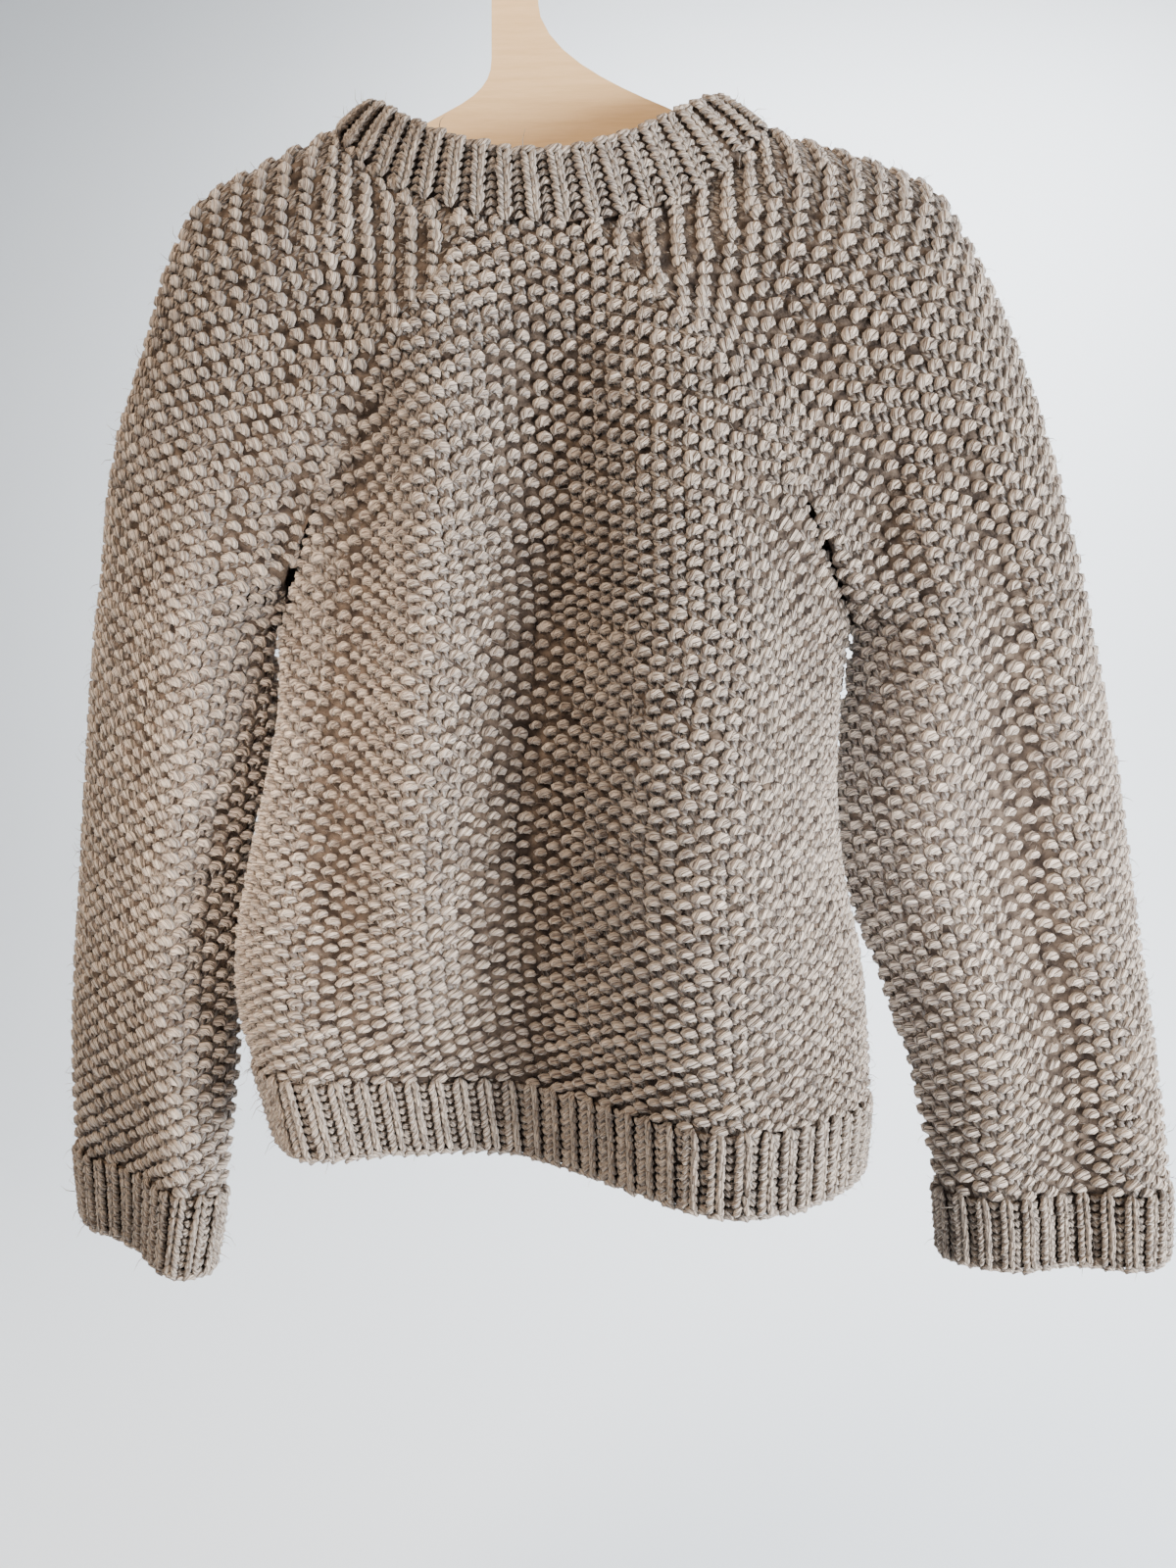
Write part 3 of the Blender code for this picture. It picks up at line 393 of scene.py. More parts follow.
@dataclass
class HangingShape:
    """The sweater's outer form as it hangs, from the same sizes as its solids, in millimetres."""

    body_left: tuple[Edge, ...] = (
        Edge(-697.0, -152.0, -20.0), Edge(-658.0, -166.0, -18.0), Edge(-632.0, -174.5, -16.0),
        Edge(-595.0, -175.6, -15.0), Edge(-545.0, -169.6, -13.0), Edge(-499.0, -161.6, -10.0),
        Edge(-460.0, -156.6, -6.0), Edge(-415.0, -160.0, 0.0))
    body_right: tuple[Edge, ...] = (
        Edge(-697.0, 168.0, -18.0), Edge(-658.0, 172.0, -16.0), Edge(-620.0, 171.0, -12.0),
        Edge(-578.0, 165.5, -16.0), Edge(-548.0, 158.5, -17.0), Edge(-500.0, 154.6, -14.0),
        Edge(-453.0, 158.4, -7.0), Edge(-415.0, 166.0, 0.0))
    raglan: dict = field(default_factory=lambda: {
        (Hand.LEFT, Side.NEAR): ((-42.0, -195.81), (-51.0, -220.0), (-67.0, -243.0), (-88.0, -270.0),
                                 (-108.0, -304.0), (-133.0, -355.0), (-160.0, -415.0)),
        (Hand.RIGHT, Side.NEAR): ((15.0, -201.2), (41.0, -231.0), (68.0, -261.0), (88.0, -286.0),
                                  (111.0, -319.0), (137.0, -362.0), (166.0, -415.0)),
        (Hand.LEFT, Side.FAR): ((-44.0, -211.75), (-63.0, -236.0), (-84.0, -266.0), (-104.0, -300.0),
                                (-122.0, -336.0), (-141.0, -375.0), (-160.0, -415.0)),
        (Hand.RIGHT, Side.FAR): ((44.0, -211.11), (64.0, -236.0), (86.0, -266.0), (107.0, -300.0),
                                 (127.0, -336.0), (147.0, -375.0), (166.0, -415.0))})
    crown: dict = field(default_factory=lambda: {
        Hand.LEFT: ((-123.0, -125.1), (-151.0, -137.0), (-175.0, -148.5), (-196.0, -158.0)),
        Hand.RIGHT: ((117.0, -129.9), (147.0, -139.0), (175.0, -148.5), (203.0, -160.0))})
    sleeve_top_edge: dict = field(default_factory=lambda: {
        Hand.LEFT: (
            Outline(-196.0, -158.0, 0.0), Outline(-206.0, -168.0, 2.0), Outline(-223.0, -193.0, 8.0),
            Outline(-245.0, -249.0, 18.0), Outline(-267.0, -312.0, 26.0), Outline(-277.0, -392.0, 30.0)),
        Hand.RIGHT: (
            Outline(203.0, -160.0, 0.0), Outline(216.0, -171.0, 0.0), Outline(229.0, -193.0, 0.0),
            Outline(247.0, -230.0, 0.0), Outline(276.0, -312.0, 0.0), Outline(297.0, -396.0, 0.0))})
    sleeve_sections: dict = field(default_factory=lambda: {
        Hand.LEFT: (
            Section(-160.0, -415.0, 0.0, -277.0, -392.0, 30.0),
            Section(-158.0, -460.0, -6.0, -282.0, -438.0, 31.0),
            Section(-163.0, -499.0, -10.0, -285.0, -485.0, 32.0),
            Section(-171.0, -545.0, -13.0, -288.0, -540.0, 32.0),
            Section(-177.0, -595.0, -15.0, -291.0, -590.0, 32.0),
            Section(-176.0, -650.0, -18.0, -293.0, -645.0, 32.0),
            Section(-180.0, -722.0, -30.0, -292.0, -714.0, 32.0),
            Section(-186.0, -765.0, -34.0, -288.0, -757.0, 32.0)),
        Hand.RIGHT: (
            Section(166.0, -415.0, 0.0, 297.0, -396.0, 0.0),
            Section(160.0, -453.0, 1.0, 304.0, -440.0, 0.0),
            Section(156.0, -500.0, 4.0, 313.0, -492.0, 0.0),
            Section(161.0, -552.0, 2.0, 320.0, -548.0, 0.0),
            Section(181.0, -611.0, -8.0, 328.0, -607.0, 0.0),
            Section(196.0, -662.0, -14.0, 335.0, -662.0, 0.0),
            Section(208.0, -720.0, -16.0, 341.0, -720.0, -2.0),
            Section(211.0, -757.0, -16.0, 340.0, -761.0, -2.0))})
    body_fullness: tuple[Fullness, ...] = (
        Fullness(-700.0, 46.0, 30.0, 44.0),
        Fullness(-658.0, 52.0, 33.0, 48.0),
        Fullness(-610.0, 66.0, 38.0, 56.0),
        Fullness(-514.0, 72.0, 36.0, 66.0),
        Fullness(-400.0, 66.0, 34.0, 70.0),
        Fullness(-300.0, 60.0, 38.0, 70.0),
        Fullness(-203.0, 55.0, 44.0, 70.0), Fullness(-120.0, 50.0, 40.0, 70.0))
    sleeve_fullness: tuple[Fullness, ...] = (
        Fullness(-765.0, 24.0, 22.0, 52.0),
        Fullness(-720.0, 26.0, 23.0, 56.0),
        Fullness(-680.0, 36.0, 26.0, 64.0),
        Fullness(-560.0, 40.0, 26.0, 72.0),
        Fullness(-413.0, 42.0, 28.0, 72.0),
        Fullness(-300.0, 46.0, 32.0, 72.0),
        Fullness(-120.0, 46.0, 34.0, 72.0))
    crease: dict = field(default_factory=lambda: {
        Hand.LEFT: ((-285.0, -118.0), (-350.0, -143.0), (-415.0, -160.0)),
        Hand.RIGHT: ((-285.0, 190.0), (-350.0, 180.0), (-415.0, 166.0))})
    body_folds: dict = field(default_factory=lambda: {
        Side.NEAR: (Fold(-215.0, -640.0, -50.0, -66.0, 32.0, 4.0, 20.0, 4.0),
                    Fold(-270.0, -640.0, -102.0, -116.0, 26.0, -12.0, -20.0, 0.0),
                    Fold(-250.0, -720.0, -2.0, -20.0, 36.0, -8.0, -22.0, -8.0),
                    Fold(-540.0, -700.0, -40.0, -50.0, 44.0, 0.0, -6.0, -16.0),
                    Fold(-225.0, -700.0, 58.0, 88.0, 56.0, 8.0, 36.0, 56.0),
                    Fold(-540.0, -700.0, -128.0, -126.0, 30.0, 0.0, 8.0, 18.0)),
        Side.FAR: (Fold(-240.0, -720.0, -70.0, -84.0, 38.0, 4.0, 10.0, 16.0),
                   Fold(-260.0, -720.0, 0.0, 8.0, 34.0, -5.0, -10.0, -14.0),
                   Fold(-240.0, -720.0, 70.0, 88.0, 40.0, 4.0, 12.0, 18.0))})
    sleeve_folds: dict = field(default_factory=lambda: {
        (Hand.LEFT, Side.NEAR): (Fold(-250.0, -760.0, 0.40, 0.14, 0.20, 4.0, 15.0, 12.0),
                                 Fold(-600.0, -760.0, 0.55, 0.55, 0.26, 0.0, -6.0, -10.0)),
        (Hand.RIGHT, Side.NEAR): (Fold(-300.0, -760.0, 0.34, 0.20, 0.16, 5.0, 10.0, 4.0),
                                  Fold(-300.0, -760.0, 0.62, 0.54, 0.14, -4.0, -13.0, -6.0),
                                  Fold(-400.0, -760.0, 0.88, 0.84, 0.14, 2.0, 9.0, 6.0)),
        (Hand.LEFT, Side.FAR): (Fold(-300.0, -760.0, 0.35, 0.40, 0.22, 3.0, 7.0, 3.0),
                                Fold(-300.0, -760.0, 0.70, 0.70, 0.16, -2.0, -5.0, -2.0)),
        (Hand.RIGHT, Side.FAR): (Fold(-300.0, -760.0, 0.30, 0.35, 0.20, 3.0, 7.0, 3.0),
                                 Fold(-300.0, -760.0, 0.65, 0.62, 0.18, -3.0, -6.0, -2.0))})
    neck_centre: float = -3.0
    neck_half_width: float = 120.0
    neck_crown_height: float = -127.5
    neck_tilt: float = -0.02
    neck_drop: dict = field(default_factory=lambda: {Side.NEAR: 74.5, Side.FAR: 92.5})
    neck_curve: float = 0.675
    crown_share: float = 0.5712
    hem_tilt: float = -0.055
    hem_top: float = -658.0
    hem_height: float = 39.0
    armpit_height: float = -415.0
    crown_reach: float = 104.0
    yoke_edge_reach: float = 72.0
    crease_reach: float = 70.0
    raglan_blend: float = 60.0
    yoke_blend_top: float = -330.0
    body_blend_bottom: float = -480.0
    tilt_rise: float = 170.0
    panel_clustering: float = 0.8
    cap_columns: int = 60
    cap_rows: int = 70
    cap_edge_fade: float = 6.0
    cap_blend: float = 0.45
    cap_blend_across: float = 0.4
    border_share: float = 0.30
    border_rise: float = 0.04
    cuff_seam_row: float = 6.0
    cuff_end_row: float = 7.0

    def neck_seam_height(self, x: Grid, side: Side) -> Grid:
        """Height of the neck seam, which dips between the two crowns.

        Args:
            x: Places across.
            side: Layer of the garment.

        Returns:
            The height at each place.
        """
        across = (x - self.neck_centre) / self.neck_half_width
        inside = np.maximum(0.0, 1.0 - across ** 2)
        return (self.neck_crown_height + self.neck_tilt * self.neck_half_width * across
                - self.neck_drop[side] * inside ** self.neck_curve)

    def raglan_x(self, hand: Hand, side: Side, height: Grid) -> Grid:
        """Return where a raglan line is at a height."""
        points = self.raglan[(hand, side)]
        return curve_through([point[1] for point in points], [point[0] for point in points], height)

    def crown_clearance(self, x: Grid, height: Grid) -> Grid:
        """Distance down from the line of the shoulders, level between the crowns.

        Args:
            x: Places across.
            height: Heights of those places.

        Returns:
            The distance at each place, 0 above the line.
        """
        points = self.crown[Hand.LEFT][::-1] + self.crown[Hand.RIGHT]
        line = np.interp(x, [point[0] for point in points], [point[1] for point in points])
        return np.maximum(0.0, line - height)

    def outer_clearance(self, hand: Hand, x: Grid, height: Grid) -> Grid:
        """Distance in from a sleeve's outer silhouette.

        Args:
            hand: Which sleeve.
            x: Places across.
            height: Heights of those places.

        Returns:
            The distance at each place, 0 outside the silhouette.
        """
        rows = list(self.sleeve_top_edge[hand]) + [
            Outline(row.outer_x, row.outer_height, row.outer_depth) for row in self.sleeve_sections[hand][1:]]
        edge = curve_through(column(rows, "height"), column(rows, "x"), height)
        return np.maximum(0.0, np.abs(edge) - np.abs(x))

    def crease_factor(self, hand: Hand, x: Grid, height: Grid) -> Grid:
        """Share of the cloth's swell that the crease above an armpit leaves.

        Args:
            hand: By which sleeve the crease is.
            x: Places across.
            height: Heights of those places.

        Returns:
            1 on smooth cloth, falling to 0 at the armpit as the crease deepens towards it.
        """
        points = self.crease[hand]
        centre = curve_through([point[0] for point in points], [point[1] for point in points], height)
        top = points[0][0]
        deepening = smooth_step((top - height) / (top - self.armpit_height))
        distance = np.abs(x - centre)
        shallow = np.maximum(0.0, 1.0 - distance / self.crease_reach) ** 2
        folded = 1.0 - rise(distance, self.crease_reach)
        return 1.0 - deepening * (shallow + (folded - shallow) * deepening ** 2)

    def fullness(self, rows: Sequence[Fullness], side: Side, height: Grid) -> Grid:
        """Return how far a layer swells at a height."""
        return from_rows(rows, "near" if side is Side.NEAR else "far", height)

    def edge_rise(self, rows: Sequence[Fullness], from_start: Grid, from_end: Grid, height: Grid) -> Grid:
        """Return the rise from both folded edges of a tube towards its middle."""
        reach = from_rows(rows, "reach", height)
        return rise(from_start / reach, 1.0) * rise(from_end / reach, 1.0)

    def yoke_depth(self, side: Side, x: Grid, height: Grid) -> Grid:
        """Depth of the yoke, shared by the panels and the tops of the sleeves.

        Args:
            side: Layer of the garment.
            x: Places across.
            height: Heights of those places.

        Returns:
            The depth of each place, negative on the near side.
        """
        body = self.fullness(self.body_fullness, side, height)
        sleeve = self.fullness(self.sleeve_fullness, side, height)
        share = np.zeros_like(x)
        crease = np.ones_like(x)
        low = smooth_step((self.yoke_blend_top - height) / (self.yoke_blend_top - self.armpit_height))
        for hand in Hand:
            beyond = hand.value * (x - self.raglan_x(hand, side, height))
            outside = low + (1.0 - low) * smooth_step(beyond / self.raglan_blend)
            inside = low * (1.0 - smooth_step(-beyond / self.raglan_blend))
            share += np.where(beyond > 0.0, outside, inside)
            crease *= self.crease_factor(hand, x, height)
        share = np.clip(share, 0.0, 1.0)
        full = body + (sleeve - body) * share
        clearance = np.where(x < 0.0, self.outer_clearance(Hand.LEFT, x, height),
                             self.outer_clearance(Hand.RIGHT, x, height))
        edge = joined_rise(rise(self.crown_clearance(x, height), self.crown_reach),
                           rise(clearance, self.yoke_edge_reach))
        folds = fold_swell(self.body_folds[side], x, height) * (1.0 - share)
        return side.value * (full + folds) * edge * crease

    def body_depth(self, side: Side, u: Grid, x: Grid, height: Grid) -> Grid:
        """Depth of the body below the armpits, with its folded side edges.

        Args:
            side: Layer of the garment.
            u: Fractions across from the left edge.
            x: Places across.
            height: Heights of those places.

        Returns:
            The depth of each place.
        """
        left = from_rows(self.body_left, "x", height)
        right = from_rows(self.body_right, "x", height)
        middle = ((1.0 - u) * from_rows(self.body_left, "depth", height)
                  + u * from_rows(self.body_right, "depth", height))
        full = self.fullness(self.body_fullness, side, height)
        low = smooth_step((height - self.body_blend_bottom) / (self.armpit_height - self.body_blend_bottom))
        share = low * (1.0 - smooth_step(np.minimum(x - left, right - x) / self.raglan_blend))
        full = full + (self.fullness(self.sleeve_fullness, side, height) - full) * share
        swell = full + fold_swell(self.body_folds[side], x, height) * (1.0 - share)
        return middle + side.value * swell * self.edge_rise(self.body_fullness, x - left, right - x, height)

    def body_point(self, side: Side, u: Grid, height: float) -> Grid:
        """Points on the body below the armpits.

        Args:
            side: Layer of the garment.
            u: Fractions across from the left edge.
            height: Height of the row at the middle.

        Returns:
            The points, in millimetres.
        """
        tilt = self.hem_tilt * smooth_step((self.body_blend_bottom - height) / self.tilt_rise)
        left = from_rows(self.body_left, "x", height)
        right = from_rows(self.body_right, "x", height)
        x = left + (right - left) * u
        return np.stack([x, self.body_depth(side, u, x, np.full_like(x, height)), height + tilt * x], axis=-1)

    def sleeve_point(self, hand: Hand, side: Side, u: Grid, row: float) -> Grid:
        """Points on a sleeve below the armpit.

        Args:
            hand: Which sleeve.
            side: Layer of the sleeve.
            u: Fractions across from the inner fold.
            row: Place down the table of sections.

        Returns:
            The points, in millimetres.
        """
        rows = self.sleeve_sections[hand]
        section = Section(*[float(curve_through(range(len(rows)), column(rows, name), row))
                            for name in Section._fields])
        x = section.inner_x + (section.outer_x - section.inner_x) * u
        height = section.inner_height + (section.outer_height - section.inner_height) * u
        middle = section.inner_depth + (section.outer_depth - section.inner_depth) * u
        width = abs(section.outer_x - section.inner_x)
        swell = self.fullness(self.sleeve_fullness, side, height)
        swell = swell + fold_swell(self.sleeve_folds[(hand, side)], u, height)
        edges = self.edge_rise(self.sleeve_fullness, u * width, (1.0 - u) * width, height)
        return np.stack([x, middle + side.value * swell * edges, height], axis=-1)

    def panel_points(self, side: Side, columns: int, body_rows: int, yoke_rows: int) -> Grid:
        """Grid of a panel, rows from hem to neck and columns from left to right.

        Args:
            side: Near or far panel.
            columns: Steps across.
            body_rows: Rows below the armpits.
            yoke_rows: Rows above them.

        Returns:
            The points, in metres.
        """
        u = clustered(columns, self.panel_clustering)
        rows = [self.body_point(side, u, height)
                for height in np.linspace(self.hem_top, self.armpit_height, body_rows, endpoint=False)]
        fractions = np.linspace(0.0, 1.0, yoke_rows)
        left_line = along(self.raglan[(Hand.LEFT, side)][::-1], fractions)
        right_line = along(self.raglan[(Hand.RIGHT, side)][::-1], fractions)
        for fraction, left, right in zip(fractions, left_line, right_line):
            x = left[0] + (right[0] - left[0]) * u
            straight = left[1] + (right[1] - left[1]) * u
            seam = self.neck_seam_height(x, side)
            height = straight + (seam - (seam[0] + (seam[-1] - seam[0]) * u)) * fraction
            rows.append(np.stack([x, self.yoke_depth(side, x, height), height], axis=-1))
        return np.array(rows) * MM

    def sleeve_top_row(self, hand: Hand, side: Side, u: Grid) -> Grid:
        """Top row of a sleeve: the neck seam as far as the crown, then the crown line.

        Args:
            hand: Which sleeve.
            side: Layer of the sleeve.
            u: Fractions across from the raglan line.

        Returns:
            Places across and heights.
        """
        split = self.crown_share
        start = self.raglan[(hand, side)][0][0]
        end = self.crown[hand][0][0]
        neck_x = start + (end - start) * np.sin(0.5 * np.pi * np.minimum(u / split, 1.0))
        neck = np.stack([neck_x, self.neck_seam_height(neck_x, side)], axis=-1)
        crown = along(self.crown[hand], np.clip((u - split) / (1.0 - split), 0.0, 1.0))
        return np.where((u <= split)[:, None], neck, crown)

    def cap_sheet(self, hand: Hand, side: Side) -> Grid:
        """Grid of a sleeve's cap as its solid has it, rows from the armpit up to the neck seam and crown.

        Args:
            hand: Which sleeve.
            side: Layer of the sleeve.

        Returns:
            The points, in millimetres.
        """
        u = clustered(self.cap_columns)
        fractions = np.linspace(0.0, 1.0, self.cap_rows)
        inner = along(self.raglan[(hand, side)][::-1], fractions)
        edge = along([tuple(row) for row in self.sleeve_top_edge[hand][::-1]], fractions)
        top = self.sleeve_top_row(hand, side, u)
        armpit = self.sleeve_point(hand, side, u, 0.0)
        bottom = armpit[:, (0, 2)]
        grid = []
        for fraction, start, end in zip(fractions, inner, edge):
            across = start + (end[:2] - start) * u[:, None]
            level = bottom + (top - bottom) * fraction
            flat = across + level - (level[0] + (level[-1] - level[0]) * u[:, None])
            depth = self.yoke_depth(side, flat[:, 0], flat[:, 1])
            fade = smooth_step((1.0 - fraction) * self.cap_edge_fade)
            depth = depth + end[2] * u * fade
            low = smooth_step(1.0 - fraction / self.cap_blend)
            share = low * (low + (1.0 - low) * smooth_step(u / self.cap_blend_across))
            depth = depth * (1.0 - share) + armpit[:, 1] * share
            depth[-1] = end[2] * fade
            grid.append(np.stack([flat[:, 0], depth, flat[:, 1]], axis=-1))
        return np.array(grid)

    def sleeve_half(self, hand: Hand, side: Side, columns: int, arm_rows: int, yoke_rows: int) -> Grid:
        """Grid of half a sleeve as it is knitted, so that its wales run up the arm and over the shoulder.

        Args:
            hand: Which sleeve.
            side: Layer of the sleeve.
            columns: Steps across.
            arm_rows: Rows below the armpit.
            yoke_rows: Rows above it.

        Returns:
            The points, in metres, rows from cuff seam to neck and columns from inside to outside.
        """
        u = clustered(columns)
        rows = [self.sleeve_point(hand, side, u, row)
                for row in np.linspace(self.cuff_seam_row, 0.0, arm_rows, endpoint=False)]
        tree = sheet_tree(self.cap_sheet(hand, side))
        fractions = np.linspace(0.0, 1.0, yoke_rows)
        inner = along(self.raglan[(hand, side)][::-1], fractions)
        edge = [tuple(row) for row in self.sleeve_top_edge[hand][::-1]]
        edge += [(x, height, 0.0) for x, height in self.crown[hand][-2::-1]]
        outer = along(edge, fractions)
        for fraction, start, end in zip(fractions, inner, outer):
            x = start[0] + (end[0] - start[0]) * u
            straight = start[1] + (end[1] - start[1]) * u
            seam = self.neck_seam_height(x, side)
            bow = seam - (seam[0] + (seam[-1] - seam[0]) * u)
            height = straight + bow * fraction ** 3
            depth = [sheet_depth(tree, place, level, side) for place, level in zip(x, height)]
            known = np.array([value is not None for value in depth])
            known[-1] = True
            depth[-1] = end[2]
            values = np.array([value if value is not None else 0.0 for value in depth])
            values = np.interp(u, u[known], values[known])
            border = self.yoke_depth(side, start[:1], start[1:])[0]
            near_border = 1.0 - smooth_step(u / self.border_share)
            values = values + (border - values[0]) * smooth_step(fraction / self.border_rise) * near_border
            rows.append(np.stack([x, values, height], axis=-1))
        return np.array(rows) * MM

    def sleeve_points(self, hand: Hand, columns: int, arm_rows: int, yoke_rows: int) -> Grid:
        """Whole sleeve: across the near layer to the outer fold, and back across the far one.

        Args:
            hand: Which sleeve.
            columns: Steps across each layer.
            arm_rows: Rows below the armpit.
            yoke_rows: Rows above it.

        Returns:
            The points, in metres.
        """
        near = self.sleeve_half(hand, Side.NEAR, columns, arm_rows, yoke_rows)
        far = self.sleeve_half(hand, Side.FAR, columns, arm_rows, yoke_rows)
        return np.concatenate([near, far[:, -2::-1]], axis=1)

    def hem_loop(self, level: float, steps: int = 240) -> Grid:
        """Loop round the hem at one level.

        Args:
            level: From 0 at the seam to 1 at the free edge.
            steps: Steps across each layer.

        Returns:
            The points, in metres.
        """
        u = clustered(steps)
        height = self.hem_top - level * self.hem_height
        near = self.body_point(Side.NEAR, u, height)
        far = self.body_point(Side.FAR, u[::-1], height)
        return np.vstack([near[:-1], far[:-1]]) * MM

    def cuff_loop(self, hand: Hand, level: float, steps: int = 160) -> Grid:
        """Loop round a cuff at one level.

        Args:
            hand: Which cuff.
            level: From 0 at the seam to 1 at the free edge.
            steps: Steps across each layer.

        Returns:
            The points, in metres.
        """
        u = clustered(steps)
        row = self.cuff_seam_row + level * (self.cuff_end_row - self.cuff_seam_row)
        near = self.sleeve_point(hand, Side.NEAR, u, row)
        far = self.sleeve_point(hand, Side.FAR, u[::-1], row)
        return np.vstack([near[:-1], far[:-1]]) * MM


def knit_lattice(patch: Patch, wale: float, courses: int, tension: Sequence[tuple[float, float]],
                 margin: float, least_stretch: float = 0.20) -> Lattice:
    """Lay even wales, and courses by tension, over a patch.

    Args:
        patch: The stretch of cloth.
        wale: Distance between neighbouring wales, in metres.
        courses: Number of courses from the lower edge to the upper one.
        tension: Relative height of the courses at fractions of the way up.
        margin: Least distance of a stitch from the side borders, in wales.
        least_stretch: Share of a course's usual height below which a stitch is left out.

    Returns:
        The places of all the stitches.
    """
    steps = np.linalg.norm(np.diff(patch.points, axis=0), axis=2).mean(axis=1)
    stations = summed(steps)
    fine = np.linspace(0.0, 1.0, TENSION_STEPS)
    height = np.interp(fine, [place for place, _ in tension], [value for _, value in tension])
    counted = summed(0.5 * (1.0 / height[1:] + 1.0 / height[:-1]))
    bounds = np.interp(np.arange(courses + 1) / courses * counted[-1], counted, fine) * stations[-1]
    rows: list[Lattice] = []

    def row_at(station: float) -> tuple[Grid, Grid]:
        """Read the cloth along one course.

        Args:
            station: How far up the patch the course is, in metres.

        Returns:
            The points and normals there.
        """
        index = int(np.clip(np.searchsorted(stations, station) - 1, 0, len(steps) - 1))
        share = (station - stations[index]) / steps[index]
        points = patch.points[index] * (1.0 - share) + patch.points[index + 1] * share
        return points, patch.normals[index] * (1.0 - share) + patch.normals[index + 1] * share

    for course in range(courses):
        line, normals = row_at(0.5 * (bounds[course] + bounds[course + 1]))
        above, _ = row_at(bounds[course + 1])
        below, _ = row_at(bounds[course])
        lengths = lengths_along(line)
        anchor = np.interp(0.5 * (len(line) - 1), np.arange(len(line)), lengths)
        first = math.ceil((margin * wale - anchor) / wale)
        last = math.floor((lengths[-1] - margin * wale - anchor) / wale)
        if last < first:
            continue
        wales = np.arange(first, last + 1)
        at = anchor + wales * wale
        out = unit(read_line(normals, lengths, at))
        across = unit(flattened(read_line(np.gradient(line, axis=0), lengths, at), out))
        lift = read_line(above - below, lengths, at)
        up = np.cross(out, across)
        up *= np.sign(np.sum(up * lift, axis=1, keepdims=True))
        rows.append(Lattice(read_line(line, lengths, at), across, up, out, wales, np.full(len(wales), course),
                            np.sum(up * lift, axis=1) / COURSE_HEIGHT))
    lattice = Lattice.joined(rows)
    return lattice.pick(lattice.stretch > least_stretch)


def border_lattice(patch: Patch, column: int, first_row: int, spacing: float, inset: float) -> Lattice:
    """Places along one side border of a patch, for the stitches that follow its seam.

    Args:
        patch: The stretch of cloth.
        column: The border's column, 0 or -1.
        first_row: Row at which the seam starts.
        spacing: Distance between stitches, in metres.
        inset: Distance of the stitches in from the border, in metres.

    Returns:
        The places.
    """
    line = patch.points[first_row:, column]
    beside = patch.points[first_row:, 3 if column == 0 else -4]
    normals = patch.normals[first_row:, 1 if column == 0 else -2]
    stations = lengths_along(line)
    at = np.arange(0.5 * spacing, stations[-1], spacing)
    out = unit(read_line(normals, stations, at))
    up = unit(flattened(read_line(np.gradient(line, axis=0), stations, at), out))
    inwards = unit(flattened(read_line(beside - line, stations, at), up))
    place = read_line(line, stations, at) + inwards * inset
    ones = np.ones(len(at))
    return Lattice(place, np.cross(up, out), up, out, 0.0 * ones, np.arange(len(at)), ones)


@dataclass(frozen=True)
class Strand:
    """A short length of yarn in a stitch: its middle line and its radius at each point, in millimetres."""

    path: tuple[Point, ...]
    radii: tuple[float, ...]
    sides: int
    turn: float = 0.0

    def template(self) -> tuple[Grid, list[list[int]], list[list[tuple[float, float]]]]:
        """Work out the strand as a small closed tube.

        Returns:
            Its points in millimetres, its faces, and the texture place of each face's corners.
        """
        path = np.array(self.path)
        tangents = unit(np.gradient(path, axis=0))
        side = unit(np.cross(tangents, np.array([0.0, 0.0, 1.0])))
        lift = np.cross(side, tangents)
        angles = self.turn + 2.0 * np.pi * np.arange(self.sides) / self.sides
        cosines = np.cos(angles)[:, None]
        sines = np.sin(angles)[:, None]
        rings = [path[i] + self.radii[i] * (cosines * side[i] + sines * lift[i]) for i in range(len(path))]
        lengths = lengths_along(path)
        faces = []
        places = []
        for ring in range(len(path) - 1):
            for k in range(self.sides):
                after = (k + 1) % self.sides
                low = ring * self.sides
                high = low + self.sides
                faces.append([low + k, high + k, high + after, low + after])
                start = k / self.sides
                end = (k + 1) / self.sides
                places.append([(start, lengths[ring]), (start, lengths[ring + 1]),
                               (end, lengths[ring + 1]), (end, lengths[ring])])
        last = (len(path) - 1) * self.sides
        faces.append(list(range(self.sides)))
        faces.append([last + k for k in range(self.sides)][::-1])
        places.append([(k / self.sides, 0.0) for k in range(self.sides)])
        places.append([(k / self.sides, lengths[-1]) for k in range(self.sides)][::-1])
        return np.vstack(rings), faces, places


@dataclass(frozen=True)
class StitchLook:
    """How much single stitches differ from each other, and their shade: an offset of their tone, which is
    painted shade where it darkens stitches that lie in recesses.
    """

    shift: float = 0.35
    tilt: float = 0.12
    swell: float = 0.08
    # painted shade: a negative offset darkens stitches that lie in recesses; the spread below is random tone
    shade: float = 0.0
    shade_spread: float = 0.5


def shown(name: str, mesh: bpy.types.Mesh) -> bpy.types.Object:
    """Put a finished mesh in the scene, smooth shaded.

    Args:
        name: Name of the new object.
        mesh: Its mesh.

    Returns:
        The object.
    """
    mesh.shade_smooth()
    piece = bpy.data.objects.new(name, mesh)
    bpy.context.scene.collection.objects.link(piece)
    return piece


def mesh_object(name: str, points: Grid, faces: Sequence[Sequence[int]]) -> bpy.types.Object:
    """Make an object of points and faces.

    Args:
        name: Name of the new object.
        points: Its points, in metres.
        faces: Point numbers of each face.

    Returns:
        The object.
    """
    mesh = bpy.data.meshes.new(name)
    mesh.from_pydata([tuple(point) for point in points], [], [list(face) for face in faces])
    mesh.validate()
    return shown(name, mesh)


